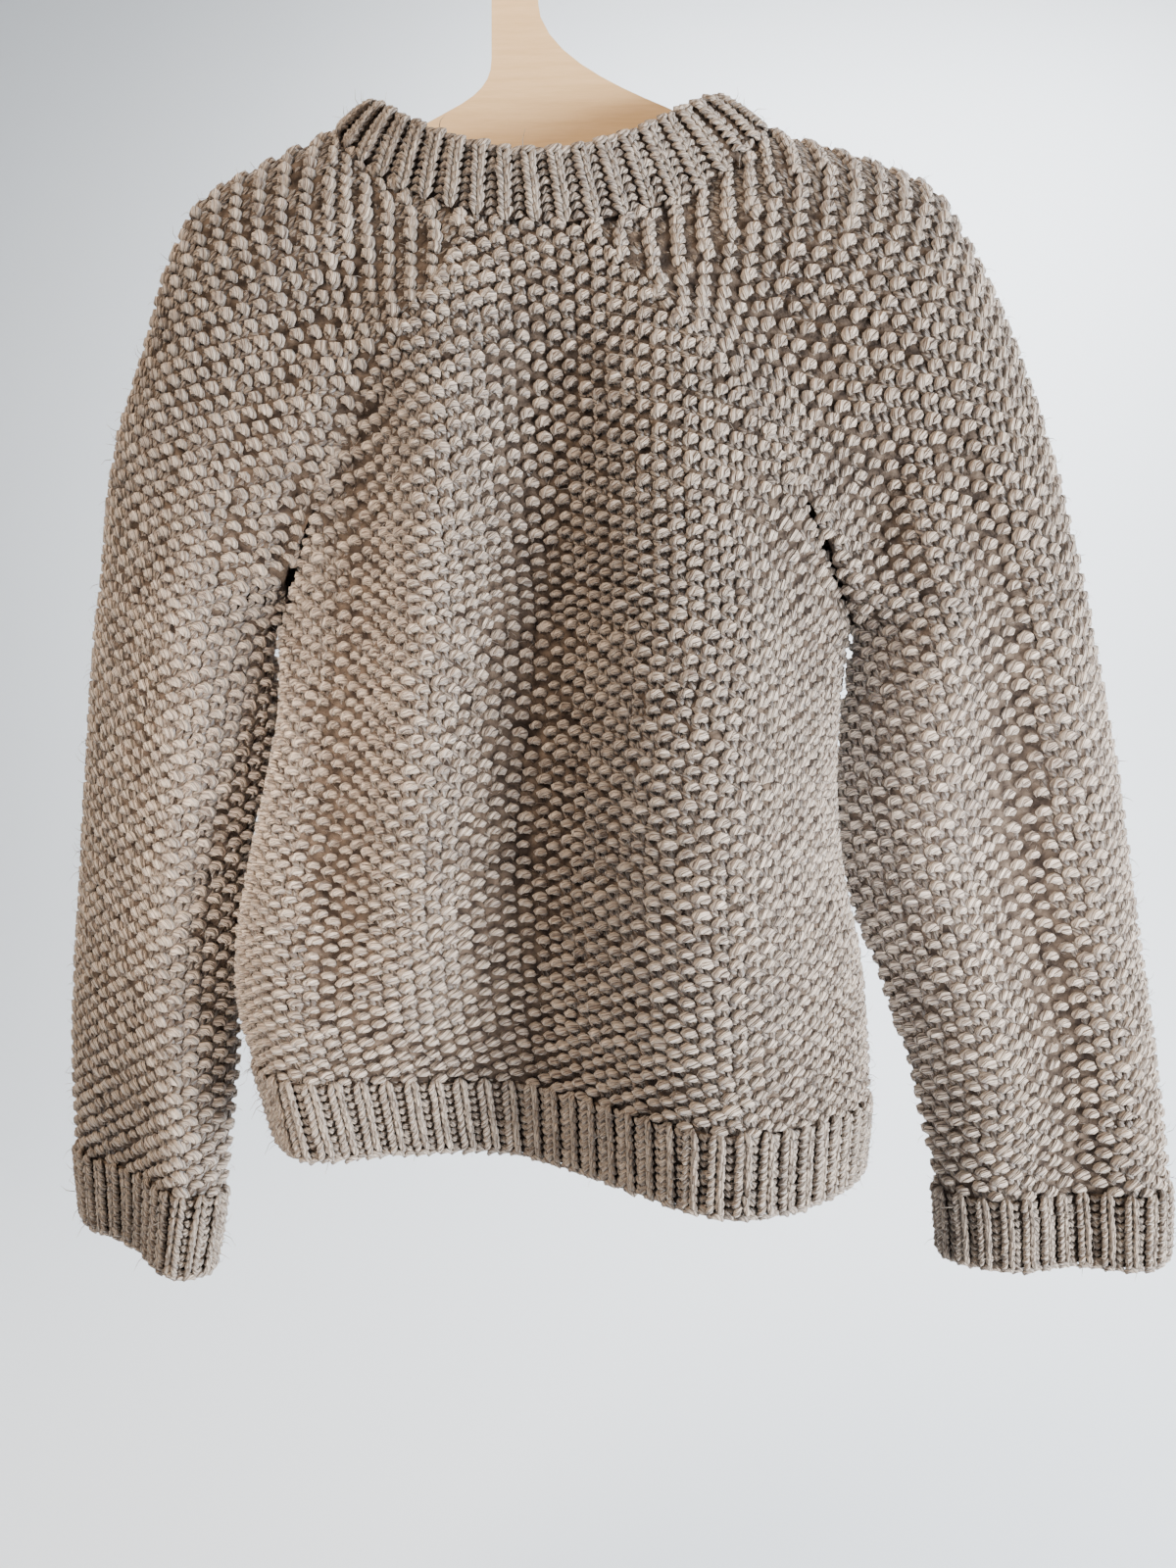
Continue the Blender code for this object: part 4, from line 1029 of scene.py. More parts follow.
def joined_strands(name: str, strands: Sequence[Strand], lattice: Lattice, scale: Grid, lift: float,
                   look: StitchLook, seed: int) -> bpy.types.Object:
    """Put a copy of the strands at each place of a lattice, all in one mesh.

    Args:
        name: Name of the new object.
        strands: The strands that make one stitch.
        lattice: Where the stitches go.
        scale: Size of each stitch across, up and out of the cloth, one row or one for each place.
        lift: Distance of the stitch's origin out of the cloth, in millimetres.
        look: How the stitches differ.
        seed: Seed of the random differences.

    Returns:
        The object, with a texture place and a shade for each stitch: painted shade on recessed stitches, with
        a random tone.
    """
    random = np.random.default_rng(seed)
    count = len(lattice.place)
    angle = random.normal(0.0, look.tilt, count)[:, None]
    across = lattice.across * np.cos(angle) + lattice.up * np.sin(angle)
    up = lattice.up * np.cos(angle) - lattice.across * np.sin(angle)
    place = (lattice.place + lattice.out * (lift + random.normal(0.0, 0.3 * look.shift, (count, 1))) * MM
             + across * random.normal(0.0, look.shift, (count, 1)) * MM
             + up * random.normal(0.0, look.shift, (count, 1)) * MM)
    size = np.broadcast_to(scale, (count, 3)) * (1.0 + random.normal(0.0, look.swell, (count, 1)))
    # Each stitch's shade: the look's offset, which is painted shade on recessed stitches, plus a random tone.
    shade = look.shade + look.shade_spread * random.uniform(-1.0, 1.0, count)
    points = []
    loops = []
    starts = []
    totals = []
    texture = []
    shades = []
    first_vertex = 0
    first_loop = 0
    for strand in strands:
        local, faces, places = strand.template()
        local = local * MM
        world = place[:, None, :]
        for axis, direction in enumerate((across, up, lattice.out)):
            world = world + (local[None, :, axis, None] * size[:, None, axis, None]) * direction[:, None, :]
        if np.linalg.det(np.stack([across[0], up[0], lattice.out[0]])) < 0.0:
            faces = [face[::-1] for face in faces]
            places = [corners[::-1] for corners in places]
        corner = np.array([number for face in faces for number in face])
        sizes = np.array([len(face) for face in faces])
        offsets = np.concatenate(([0], np.cumsum(sizes)[:-1]))
        copies = np.arange(count)
        points.append(world.reshape(-1, 3))
        loops.append((first_vertex + copies[:, None] * len(local) + corner[None, :]).ravel())
        starts.append((first_loop + copies[:, None] * len(corner) + offsets[None, :]).ravel())
        totals.append(np.tile(sizes, count))
        uv = np.array([place_uv for corners in places for place_uv in corners])
        uv_all = np.tile(uv, (count, 1))
        uv_all[:, 1] += np.repeat(random.uniform(0.0, 50.0, count), len(corner))
        texture.append(uv_all)
        shades.append(np.repeat(shade, len(local)))
        first_vertex += count * len(local)
        first_loop += count * len(corner)
    mesh = bpy.data.meshes.new(name)
    mesh.vertices.add(first_vertex)
    mesh.vertices.foreach_set("co", np.concatenate(points).astype(np.float32).ravel())
    mesh.loops.add(first_loop)
    mesh.loops.foreach_set("vertex_index", np.concatenate(loops).astype(np.int32))
    all_starts = np.concatenate(starts)
    mesh.polygons.add(len(all_starts))
    mesh.polygons.foreach_set("loop_start", all_starts.astype(np.int32))
    mesh.polygons.foreach_set("loop_total", np.concatenate(totals).astype(np.int32))
    mesh.update(calc_edges=True)
    layer = mesh.uv_layers.new(name="UVMap")
    layer.uv.foreach_set("vector", np.concatenate(texture).astype(np.float32).ravel())
    attribute = mesh.attributes.new("shade", "FLOAT", "POINT")
    attribute.data.foreach_set("value", np.concatenate(shades).astype(np.float32))
    return shown(name, mesh)


class Value:
    """A shader socket that takes part in sums: each operation adds its Math node."""

    def __init__(self, finish: "NodeFinish", socket: bpy.types.NodeSocket) -> None:
        """Wrap a socket of a finish's material."""
        self.finish = finish
        self.socket = socket

    def _math(self, operation: str, *values: "Value | float") -> "Value":
        """Return the result of one Math node."""
        return self.finish.node("ShaderNodeMath", {"operation": operation}, list(values))

    def __add__(self, other: "Value | float") -> "Value":
        """Return the sum."""
        return self._math("ADD", self, other)

    __radd__ = __add__

    def __sub__(self, other: "Value | float") -> "Value":
        """Return the difference."""
        return self._math("SUBTRACT", self, other)

    def __rsub__(self, other: "Value | float") -> "Value":
        """Return the reflected difference."""
        return self._math("SUBTRACT", other, self)

    def __mul__(self, other: "Value | float") -> "Value":
        """Return the product."""
        return self._math("MULTIPLY", self, other)

    __rmul__ = __mul__

    def sine(self) -> "Value":
        """Return the sine."""
        return self._math("SINE", self)

    def magnitude(self) -> "Value":
        """Return the value without its sign."""
        return self._math("ABSOLUTE", self)

    def above(self, limit: float) -> "Value":
        """Return 1 where the value is above a limit."""
        return self._math("GREATER_THAN", self, limit)


class NodeFinish:
    """A material made of nodes around one Principled shader."""

    def __init__(self, name: str) -> None:
        """Make a material with nodes.

        Args:
            name: The material's name.
        """
        self.material = bpy.data.materials.new(name)
        self.material.use_nodes = True
        self.tree = self.material.node_tree
        self.shader = self.tree.nodes["Principled BSDF"]

    def node(self, kind: str, settings: dict | None = None, inputs: list | dict | None = None,
             output: int | str = 0) -> Value:
        """Add one node.

        Args:
            kind: The node's type.
            settings: Its settings, set first.
            inputs: Values or links of its sockets, by place or by name.
            output: Which of its outputs is wanted.

        Returns:
            That output.
        """
        node = self.tree.nodes.new(kind)
        for name, value in (settings or {}).items():
            if name == "stops":
                for element, (place, colour) in zip(node.color_ramp.elements, value):
                    element.position = place
                    element.color = colour
            else:
                setattr(node, name, value)
        pairs = (inputs or {}).items() if isinstance(inputs, dict) or inputs is None else enumerate(inputs)
        for name, value in pairs:
            if isinstance(value, Value):
                self.tree.links.new(value.socket, node.inputs[name])
            else:
                node.inputs[name].default_value = value
        return Value(self, node.outputs[output])

    def noise(self, vector: Value, scale: float, detail: float) -> Value:
        """Return a noise of a scale and detail on some coordinates."""
        return self.node("ShaderNodeTexNoise", None, {"Vector": vector, "Scale": scale, "Detail": detail})

    def ramp(self, tone: Value, low: float, dark: Colour, high: float, light: Colour) -> Value:
        """Return the colour of a tone, between a dark one at a low tone and a light one at a high tone."""
        return self.node("ShaderNodeValToRGB", {"stops": ((low, dark), (high, light))}, [tone])

    def mix(self, factor: Value, first: Value, second: Colour) -> Value:
        """Return two colours mixed by a factor."""
        return self.node("ShaderNodeMix", {"data_type": "RGBA"}, {0: factor, 6: first, 7: second}, 2)

    def feed(self, socket: str, value: Value | float | Colour) -> None:
        """Link or set one socket of the shader.

        Args:
            socket: The socket's name.
            value: What goes in.
        """
        if isinstance(value, Value):
            self.tree.links.new(value.socket, self.shader.inputs[socket])
        else:
            self.shader.inputs[socket].default_value = value

    def emboss(self, relief: Value, strength: float, distance: float) -> None:
        """Raise the surface by a relief.

        Args:
            relief: The relief.
            strength: How much of it shows, up to 1.
            distance: Height of a relief of 1, in metres.
        """
        self.feed("Normal", self.node("ShaderNodeBump", None, {
            "Strength": strength, "Distance": distance, "Height": relief}))


@dataclass(frozen=True)
class YarnFinish:
    """Heathered alpaca yarn of a few plies, with fibres lying along the twist; its colour carries painted
    shade in the ply grooves and painted highlights on the ridges.
    """

    name: str
    dark: Colour
    light: Colour
    plies: float = 4.0
    twist: float = -0.34
    strands: float = 9.0
    fibre_slant: float = 0.12
    shade_jump: float = 7.0
    heather_scale: float = 260.0
    broad_scale: float = 14.0
    heather_tone: float = 0.7
    fibre_tone: float = 1.7
    shade_tone: float = 0.24
    broad_tone: float = 0.3
    base_tone: float = -0.93
    ply_tone: float = 0.16
    line_tone: float = 0.13
    ply_depth: float = 0.8
    fibre_depth: float = 1.2
    line_depth: float = 0.35

    def build(self) -> bpy.types.Material:
        """Make the material.

        Returns:
            The yarn's material, which reads each stitch's texture place and shade: painted shade on recessed
            stitches, with a random tone.
        """
        finish = NodeFinish(self.name)
        uv = finish.node("ShaderNodeUVMap", {"uv_map": "UVMap"})
        around = finish.node("ShaderNodeSeparateXYZ", None, [uv], 0)
        length = Value(finish, around.socket.node.outputs[1])
        shade = finish.node("ShaderNodeAttribute", {"attribute_name": "shade"}, None, "Fac")
        spot = finish.node("ShaderNodeTexCoord", None, None, "Object")
        heather = finish.noise(spot, self.heather_scale, 3.0)
        broad = finish.noise(spot, self.broad_scale, 2.0)
        turn = around + length * (self.twist / self.plies)
        ply = (turn * self.plies * 2.0 * math.pi).sine()
        fibre_spot = finish.node("ShaderNodeCombineXYZ", None,
                                 [turn * self.strands, length * self.fibre_slant, shade * self.shade_jump])
        fibre = finish.noise(fibre_spot, 1.6, 2.0)
        line = (turn * self.plies * 6.0 * math.pi + fibre * 6.0).sine()
        # The ply, line and fibre terms follow the bump relief: painted shade in the grooves and painted
        # highlights on the ridges. The stitch's shade adds painted shade on recessed stitches; heather and
        # broad noise are random tone.
        tone = (heather * self.heather_tone + fibre * self.fibre_tone + shade * self.shade_tone
                + broad * self.broad_tone + self.base_tone + ply * self.ply_tone + line * self.line_tone)
        finish.feed("Base Color", finish.ramp(tone, 0.0, self.dark, 1.0, self.light))
        finish.feed("Roughness", 0.93)
        finish.feed("Specular IOR Level", 0.25)
        finish.feed("Sheen Weight", 0.3)
        finish.feed("Sheen Roughness", 0.6)
        relief = ply * self.ply_depth + fibre * self.fibre_depth + line * self.line_depth
        finish.emboss(relief, strength=0.9, distance=0.0012)
        return finish.material


@dataclass(frozen=True)
class PaintedShadeGroundFinish:
    """The ground of the knitting behind its stitches, painted dark as the shade in the gaps between them,
    with loops as fine bumps and more painted shade between the loops.
    """

    name: str
    dark: Colour
    light: Colour

    def build(self) -> bpy.types.Material:
        """Make the material.

        Returns:
            The ground's material, on Object coordinates.
        """
        finish = NodeFinish(self.name)
        spot = finish.node("ShaderNodeTexCoord", None, None, "Object")
        loops = finish.node("ShaderNodeTexVoronoi", None, {"Vector": spot, "Scale": 150.0})
        fibre = finish.noise(spot, 900.0, 4.0)
        tone = 1.0 - loops * 1.1 + (fibre - 0.5) * 0.5
        # painted shade: the whole ground is dark for the shade between stitches, darkest between its loops
        finish.feed("Base Color", finish.ramp(tone, 0.1, self.dark, 1.0, self.light))
        finish.feed("Roughness", 0.96)
        finish.feed("Specular IOR Level", 0.2)
        finish.emboss(tone, strength=0.9, distance=0.002)
        return finish.material


@dataclass(frozen=True)
class PlywoodFinish:
    """Pale birch plywood: a fine-grained face veneer and banded edges."""

    name: str
    face: Colour
    grain: Colour
    glue: Colour
    half_thickness: float = 0.004
    layers: int = 5
    glue_share: float = 0.55

    def build(self) -> bpy.types.Material:
        """Make the material.

        Returns:
            The plywood's material, on Object coordinates.
        """
        finish = NodeFinish(self.name)
        spot = finish.node("ShaderNodeTexCoord", None, None, "Object")
        stretched = finish.node("ShaderNodeMapping", None, {"Vector": spot, "Scale": (7.0, 60.0, 110.0)})
        streak = finish.noise(stretched, 3.0, 5.0)
        fine = finish.noise(stretched, 16.0, 3.0)
        tone = streak * 0.8 + fine * 0.5 - 0.15
        wood = finish.ramp(tone, 0.2, self.grain, 0.8, self.face)
        depth = finish.node("ShaderNodeSeparateXYZ", None, [spot], 1)
        band = (depth * (math.pi * self.layers / (2.0 * self.half_thickness))).sine().above(0.1)
        inside = 1.0 - depth.magnitude().above(self.half_thickness * 0.97)
        finish.feed("Base Color", finish.mix(band * inside * self.glue_share, wood, self.glue))
        finish.feed("Roughness", 0.55)
        finish.feed("Coat Weight", 0.06)
        finish.emboss(tone, strength=0.25, distance=0.0004)
        return finish.material


@dataclass(frozen=True)
class PaleFinish:
    """A plain matt surface for the floor and the wall behind."""

    name: str
    colour: Colour

    def build(self) -> bpy.types.Material:
        """Make the material.

        Returns:
            The plain material.
        """
        finish = NodeFinish(self.name)
        finish.feed("Base Color", self.colour)
        finish.feed("Roughness", 0.9)
        return finish.material


@dataclass
class YarnBasket:
    """The finishes of all the pieces, each made once."""

    stitch: bpy.types.Material
    # painted shade: the ground's material is dark for the shade between stitches
    ground: bpy.types.Material
    plywood: bpy.types.Material

    @classmethod
    def filled(cls) -> "YarnBasket":
        """Make the materials.

        Returns:
            The basket with them.
        """
        return cls(
            stitch=YarnFinish("alpaca_yarn", dark=(0.125, 0.08, 0.055, 1.0),
                              light=(0.84, 0.665, 0.515, 1.0)).build(),
            # The ground's dark colours are painted shade between the stitches.
            ground=PaintedShadeGroundFinish("knit_ground", dark=(0.025, 0.017, 0.013, 1.0),
                                light=(0.15, 0.108, 0.08, 1.0)).build(),
            plywood=PlywoodFinish("birch_plywood", face=(0.88, 0.58, 0.30, 1.0),
                                  grain=(0.72, 0.44, 0.20, 1.0), glue=(0.36, 0.22, 0.12, 1.0)).build())


def shell_object(name: str, patch: Patch, depth: float, thickness: float) -> bpy.types.Object:
    """Closed thin shell under the outer form of a patch.

    Args:
        name: Name of the new object.
        patch: The cloth's outer form.
        depth: Distance of the shell's outer side below that form, in metres.
        thickness: Thickness of the shell, in metres.

    Returns:
        The shell.
    """
    rows, columns = patch.points.shape[:2]
    outer = patch.points - patch.normals * depth
    inner = patch.points - patch.normals * (depth + thickness)
    count = rows * columns
    numbers = np.arange(count).reshape(rows, columns)
    quads = grid_quads(rows, columns)
    sides = [numbers[0, :], numbers[1:, -1], numbers[-1, -2::-1], numbers[-2:0:-1, 0]]
    border = np.concatenate(sides).tolist()
    rims = [[border[i], border[i - 1], border[i - 1] + count, border[i] + count] for i in range(len(border))]
    faces = quads.tolist() + (quads[:, ::-1] + count).tolist() + rims
    first = patch.points[1, 1] - patch.points[0, 0]
    across = patch.points[0, 1] - patch.points[0, 0]
    if np.dot(np.cross(across, first), patch.normals[0, 0]) < 0.0:
        faces = [face[::-1] for face in faces]
    return mesh_object(name, np.vstack([outer.reshape(-1, 3), inner.reshape(-1, 3)]), faces)


PURL = Strand(path=((-3.4, -1.7, -2.8), (-2.1, -0.2, -0.7), (0.0, 0.4, 0.0), (2.1, -0.1, -0.6),
                    (3.4, -1.6, -2.8)),
              radii=(1.5, 2.5, 2.9, 2.5, 1.5), sides=5, turn=0.9)
KNIT_LEFT = Strand(path=((-0.8, -4.0, -2.6), (-3.0, 3.0, -2.2)), radii=(2.0, 2.3), sides=3, turn=0.5)
KNIT_RIGHT = Strand(path=((0.8, -4.0, -2.6), (3.0, 3.0, -2.2)), radii=(2.0, 2.3), sides=3, turn=0.5)
RIB_LEFT = Strand(path=((-0.6, -3.6, -1.9), (-1.6, -1.7, 0.0), (-2.8, 0.8, 0.3), (-3.5, 2.7, -1.5)),
                  radii=(1.0, 1.8, 1.9, 1.0), sides=5)
RIB_RIGHT = Strand(path=((0.6, -3.6, -1.9), (1.6, -1.7, 0.0), (2.8, 0.8, 0.3), (3.5, 2.7, -1.5)),
                   radii=(1.0, 1.8, 1.9, 1.0), sides=5)
RIB_PURL = Strand(path=((-3.0, -0.6, -0.7), (0.0, 0.5, 0.3), (3.0, -0.6, -0.7)),
                  radii=(1.3, 2.0, 1.3), sides=5)
EDGE_LOOP = Strand(path=((-3.6, 0.9, -1.2), (-1.9, -0.5, 0.1), (0.0, -0.9, 0.4), (1.9, -0.5, 0.1),
                         (3.6, 0.9, -1.2)),
                   radii=(1.2, 1.7, 1.85, 1.7, 1.2), sides=6)
HAIR = Strand(path=((0.0, 0.0, 0.0), (0.9, 0.3, 2.2), (2.8, 0.6, 3.6)), radii=(0.10, 0.08, 0.03), sides=3)


def loose_fibres(name: str, lattice: Lattice, share: float, longest: float, lift: float,
                 seed: int) -> bpy.types.Object:
    """Scatter fine fibres that stand off the yarn.

    Args:
        name: Name of the new object.
        lattice: The stitches they may rise from.
        share: Fibres for each stitch.
        longest: Greatest length, as a multiple of the strand's own.
        lift: Distance of their roots out of the cloth, in millimetres.
        seed: Seed of the random choices.

    Returns:
        The object.
    """
    random = np.random.default_rng(seed)
    count = int(share * len(lattice.place))
    chosen = lattice.pick(random.integers(0, len(lattice.place), count))
    turn = random.uniform(0.0, 2.0 * np.pi, (count, 1))
    across = chosen.across * np.cos(turn) + chosen.up * np.sin(turn)
    chosen.up = chosen.up * np.cos(turn) - chosen.across * np.sin(turn)
    chosen.across = across
    length = random.uniform(0.5, 1.0, (count, 1)) ** 2 * longest * np.array([[1.0, 1.0, 0.7]])
    return joined_strands(name, [HAIR], chosen, length, lift, StitchLook(shift=1.8, shade=0.35), seed + 1)


@dataclass
class SeedStitchCloth:
    """A piece of seed-stitch knitting: a thin ground with purl bumps, knit legs and seam stitches on it.

    Sizes are in metres, but lifts and drops, which move the stitches, are in millimetres.
    """

    name: str
    node: str
    patch: Patch
    shell: Patch
    courses: int
    wale: float
    tension: tuple[tuple[float, float], ...]
    flat: tuple[float, float]
    area: float
    seed: int
    seam_row: int | None = None
    margin: float = 0.08
    crowded_stretch: float = 0.66
    bump_wale: float = 0.0085
    least_height: float = 0.6
    greatest_height: float = 1.25
    fibre_share: float = 0.4
    fibre_length: float = 2.0
    fibre_lift: float = 2.0
    ground_depth: float = 0.0034
    ground_thickness: float = 0.0013
    crest_lift: float = -2.1
    seam_spacing: float = 0.0066
    seam_inset: float = 0.0004
    seam_drop: float = 0.7
    seam_size: Point = (0.8, 0.85, 0.9)

    def stitches(self, basket: YarnBasket) -> list[bpy.types.Object]:
        """Make the yarn that stands on the ground.

        Args:
            basket: The finishes.

        Returns:
            The joined meshes.
        """
        crest = Patch(self.patch.points + self.patch.normals * self.crest_lift * MM, self.patch.normals)
        lattice = knit_lattice(crest, self.wale, self.courses, self.tension, self.margin)
        crowded = lattice.stretch < self.crowded_stretch
        kept = ~crowded | (lattice.course % 2 == 0)
        lattice = lattice.pick(kept)
        crowded = crowded[kept]
        purl = (lattice.wale + np.where(crowded, lattice.course // 2, lattice.course)) % 2 == 0
        height = np.where(crowded, 2.0, 1.0) * lattice.stretch
        height = np.clip(height, self.least_height, self.greatest_height)
        size = np.column_stack([np.full(len(purl), self.wale / self.bump_wale), height, np.ones(len(purl))])
        pieces = [
            joined_strands(self.name + "_purls", [PURL], lattice.pick(purl), size[purl], 0.0,
                           StitchLook(), self.seed),
            # The knit legs lie deep between the purl bumps and carry painted shade: their tone is 1.0 lower.
            joined_strands(self.name + "_legs", [KNIT_LEFT, KNIT_RIGHT], lattice.pick(~purl), size[~purl],
                           0.0, StitchLook(shade=-1.0, tilt=0.06), self.seed + 1),
            loose_fibres(self.name + "_fuzz", lattice, self.fibre_share, self.fibre_length, self.fibre_lift,
                         self.seed + 2)]
        if self.seam_row is not None:
            # The seam stitches sit lower than the others and carry a little painted shade.
            look = StitchLook(shift=0.5, tilt=0.3, shade=-0.1)
            for number, border in enumerate((0, -1)):
                line = border_lattice(self.patch, border, self.seam_row, self.seam_spacing, self.seam_inset)
                pieces.append(joined_strands(self.name + "_seam_%d" % number, [PURL], line,
                                             np.array([self.seam_size]), self.crest_lift - self.seam_drop,
                                             look, self.seed + 4 + number))
        for piece in pieces:
            piece.data.materials.append(basket.stitch)
        LOG.info("%s: %d purl bumps, %d knit stitches", self.name, int(purl.sum()), int((~purl).sum()))
        return pieces

    def build(self, basket: YarnBasket) -> None:
        """Args:
            basket: The finishes.
        """
        ground = shell_object(self.name + "_ground", self.shell, self.ground_depth, self.ground_thickness)
        ground.data.materials.append(basket.ground)
        yarn = self.stitches(basket)
        for piece in [ground] + yarn:
            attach(piece, BODY)
        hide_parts(self.node)


@dataclass
class BandLevel:
    """A loop round a ribbed band at one level, with its directions."""

    middle: Grid
    out: Grid


@dataclass
class RibbedBand:
    """A ribbed tube of knitting: a corrugated ground, two cords on each rib and purl bumps between ribs.

    Sizes are in metres, but pitches, course heights, drops and lifts, which size and move the stitches,
    are in millimetres. Levels run from 0 at the seam to 1 at the free edge.
    """

    name: str
    node: str
    levels: list[BandLevel]
    ribs: int
    courses: int
    course_height: float
    pitch: float
    flat: tuple[float, float]
    seed: int
    relief: float = 0.0020
    wall: float = 0.0040
    ground_depth: float = 0.0026
    rounded_end: float = 0.0015
    ground_places: int = 6
    ground_levels: tuple[float, ...] = (0.0, 0.2, 0.4, 0.6, 0.8, 0.94)
    end_level: float = 0.9
    end_walls: tuple[float, float] = (0.3, 0.7)
    fine_places: int = 12
    level_step: float = 0.06
    rib_end: float = 0.93
    valley_end: float = 0.95
    edge_level: float = 0.975
    cord_pitch: float = 13.0
    cord_course: float = 4.7
    rib_drop: float = 0.9
    valley_drop: float = 1.4
    edge_drop: float = 0.7
    between_lift: float = 0.4

    def ring(self, level: float, places: int) -> tuple[Grid, Grid]:
        """Points and outward directions at a level.

        Args:
            level: From 0 at the seam to 1 at the free edge.
            places: How many places round the band.

        Returns:
            Points in the middle of the relief, and their directions.
        """
        at = level * (len(self.levels) - 1)
        index = int(min(at, len(self.levels) - 2))
        share = at - index
        low = self.levels[index]
        high = self.levels[index + 1]
        middle = low.middle * (1.0 - share) + high.middle * share
        out = unit(low.out * (1.0 - share) + high.out * share)
        points, directions = spread_round(middle, places, out)
        return points, unit(directions)

    def ground(self) -> bpy.types.Object:
        """Make the corrugated ground.

        Returns:
            A closed tube wall, rounded at its free edge.
        """
        places = self.ribs * self.ground_places
        wave = -0.5 * self.relief * np.cos(2.0 * np.pi * np.arange(places) / self.ground_places)[:, None]
        rings = []
        for level in self.ground_levels:
            points, out = self.ring(level, places)
            rings.append(points + out * (wave - self.ground_depth))
        points, out = self.ring(1.0, places)
        end = unit(points - self.ring(self.end_level, places)[0])
        for share in self.end_walls:
            rings.append(points - out * (self.ground_depth + share * self.wall) - end * self.rounded_end)
        for level in self.ground_levels[::-1]:
            points, out = self.ring(level, places)
            rings.append(points - out * (self.ground_depth + self.wall))
        faces = []
        for number in range(len(rings)):
            here = number * places
            beyond = (number + 1) % len(rings) * places
            for place in range(places):
                after = (place + 1) % places
                faces.append([here + place, here + after, beyond + after, beyond + place])
        piece = mesh_object(self.name + "_ground", np.vstack(rings), faces)
        self.face_outwards(piece)
        return piece

    @staticmethod
    def face_outwards(piece: bpy.types.Object) -> None:
        """Turn a closed mesh's faces outwards.

        Args:
            piece: The object with the mesh.
        """
        bpy.ops.object.select_all(action="DESELECT")
        bpy.context.view_layer.objects.active = piece
        piece.select_set(True)
        bpy.ops.object.mode_set(mode="EDIT")
        bpy.ops.mesh.select_all(action="SELECT")
        bpy.ops.mesh.normals_make_consistent(inside=False)
        bpy.ops.object.mode_set(mode="OBJECT")
        piece.select_set(False)

    def lattice(self, phase: float, courses: int, last: float) -> Lattice:
        """Return one place a rib and course, from the seam down to a last level."""
        return self.places(phase, [(course + 0.5) / courses * last for course in range(courses)])

    def edge(self, phase: float) -> Lattice:
        """Return one place a rib on the free edge."""
        return self.places(phase, [self.edge_level])

    def places(self, phase: float, levels: Sequence[float]) -> Lattice:
        """Places for one stitch a rib at each of some levels.

        Args:
            phase: Where in a rib's pitch the stitch is, from 0 in the valley to 0.5 on the rib.
            levels: The levels.

        Returns:
            The places.
        """
        rows = []
        count = self.ribs * self.fine_places
        wales = np.arange(self.ribs)
        chosen = (wales * self.fine_places + int(round(self.fine_places * phase))) % count
        for course, level in enumerate(levels):
            points, out = self.ring(level, count)
            above, _ = self.ring(min(level + self.level_step, 1.0), count)
            below, _ = self.ring(max(level - self.level_step, 0.0), count)
            across = np.roll(points, -1, axis=0) - np.roll(points, 1, axis=0)
            normal = out[chosen]
            up = unit(flattened((above - below)[chosen], normal))
            side = np.cross(up, normal)
            side *= np.sign(np.sum(side * across[chosen], axis=1, keepdims=True))
            rows.append(Lattice(points[chosen], unit(side), up, normal, wales, np.full(self.ribs, course),
                                np.ones(self.ribs)))
        return Lattice.joined(rows)

    def build(self, basket: YarnBasket) -> None:
        """Args:
            basket: The finishes.
        """
        ground = self.ground()
        ground.data.materials.append(basket.ground)
        size = np.array([[self.pitch / self.cord_pitch, self.course_height / self.cord_course, 1.0]])
        crest = 0.5 * self.relief / MM - self.rib_drop
        valley = -0.5 * self.relief / MM - self.valley_drop
        ribs = self.lattice(0.5, self.courses, self.rib_end)
        valleys = self.lattice(0.0, self.courses, self.valley_end)
        yarn = [
            joined_strands(self.name + "_cords", [RIB_LEFT, RIB_RIGHT], ribs, size, crest,
                           StitchLook(shift=0.14, tilt=0.05, swell=0.04), self.seed),
            # The purl bumps in the valleys between ribs carry painted shade: their tone is 0.25 lower.
            joined_strands(self.name + "_valleys", [RIB_PURL], valleys, size, valley,
                           StitchLook(shift=0.2, tilt=0.08, shade=-0.25), self.seed + 1),
            # The edge loops on the ribs carry a trace of painted shade.
            joined_strands(self.name + "_edge", [EDGE_LOOP], self.edge(0.5), size, crest - self.edge_drop,
                           StitchLook(shift=0.25, tilt=0.12, shade=-0.05), self.seed + 2),
            # The edge loops between the ribs lie lower and carry painted shade: their tone is 0.25 lower.
            joined_strands(self.name + "_edge_between", [EDGE_LOOP], self.edge(0.0), size,
                           valley + self.between_lift,
                           StitchLook(shift=0.25, tilt=0.12, shade=-0.25), self.seed + 3),
            loose_fibres(self.name + "_fuzz", ribs, 1.0, 2.6, 1.0, self.seed + 4)]
        for piece in yarn:
            piece.data.materials.append(basket.stitch)
        for piece in [ground] + yarn:
            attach(piece, BODY)
        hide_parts(self.node)
        LOG.info("%s: %d ribs of %d courses", self.name, self.ribs, self.courses)


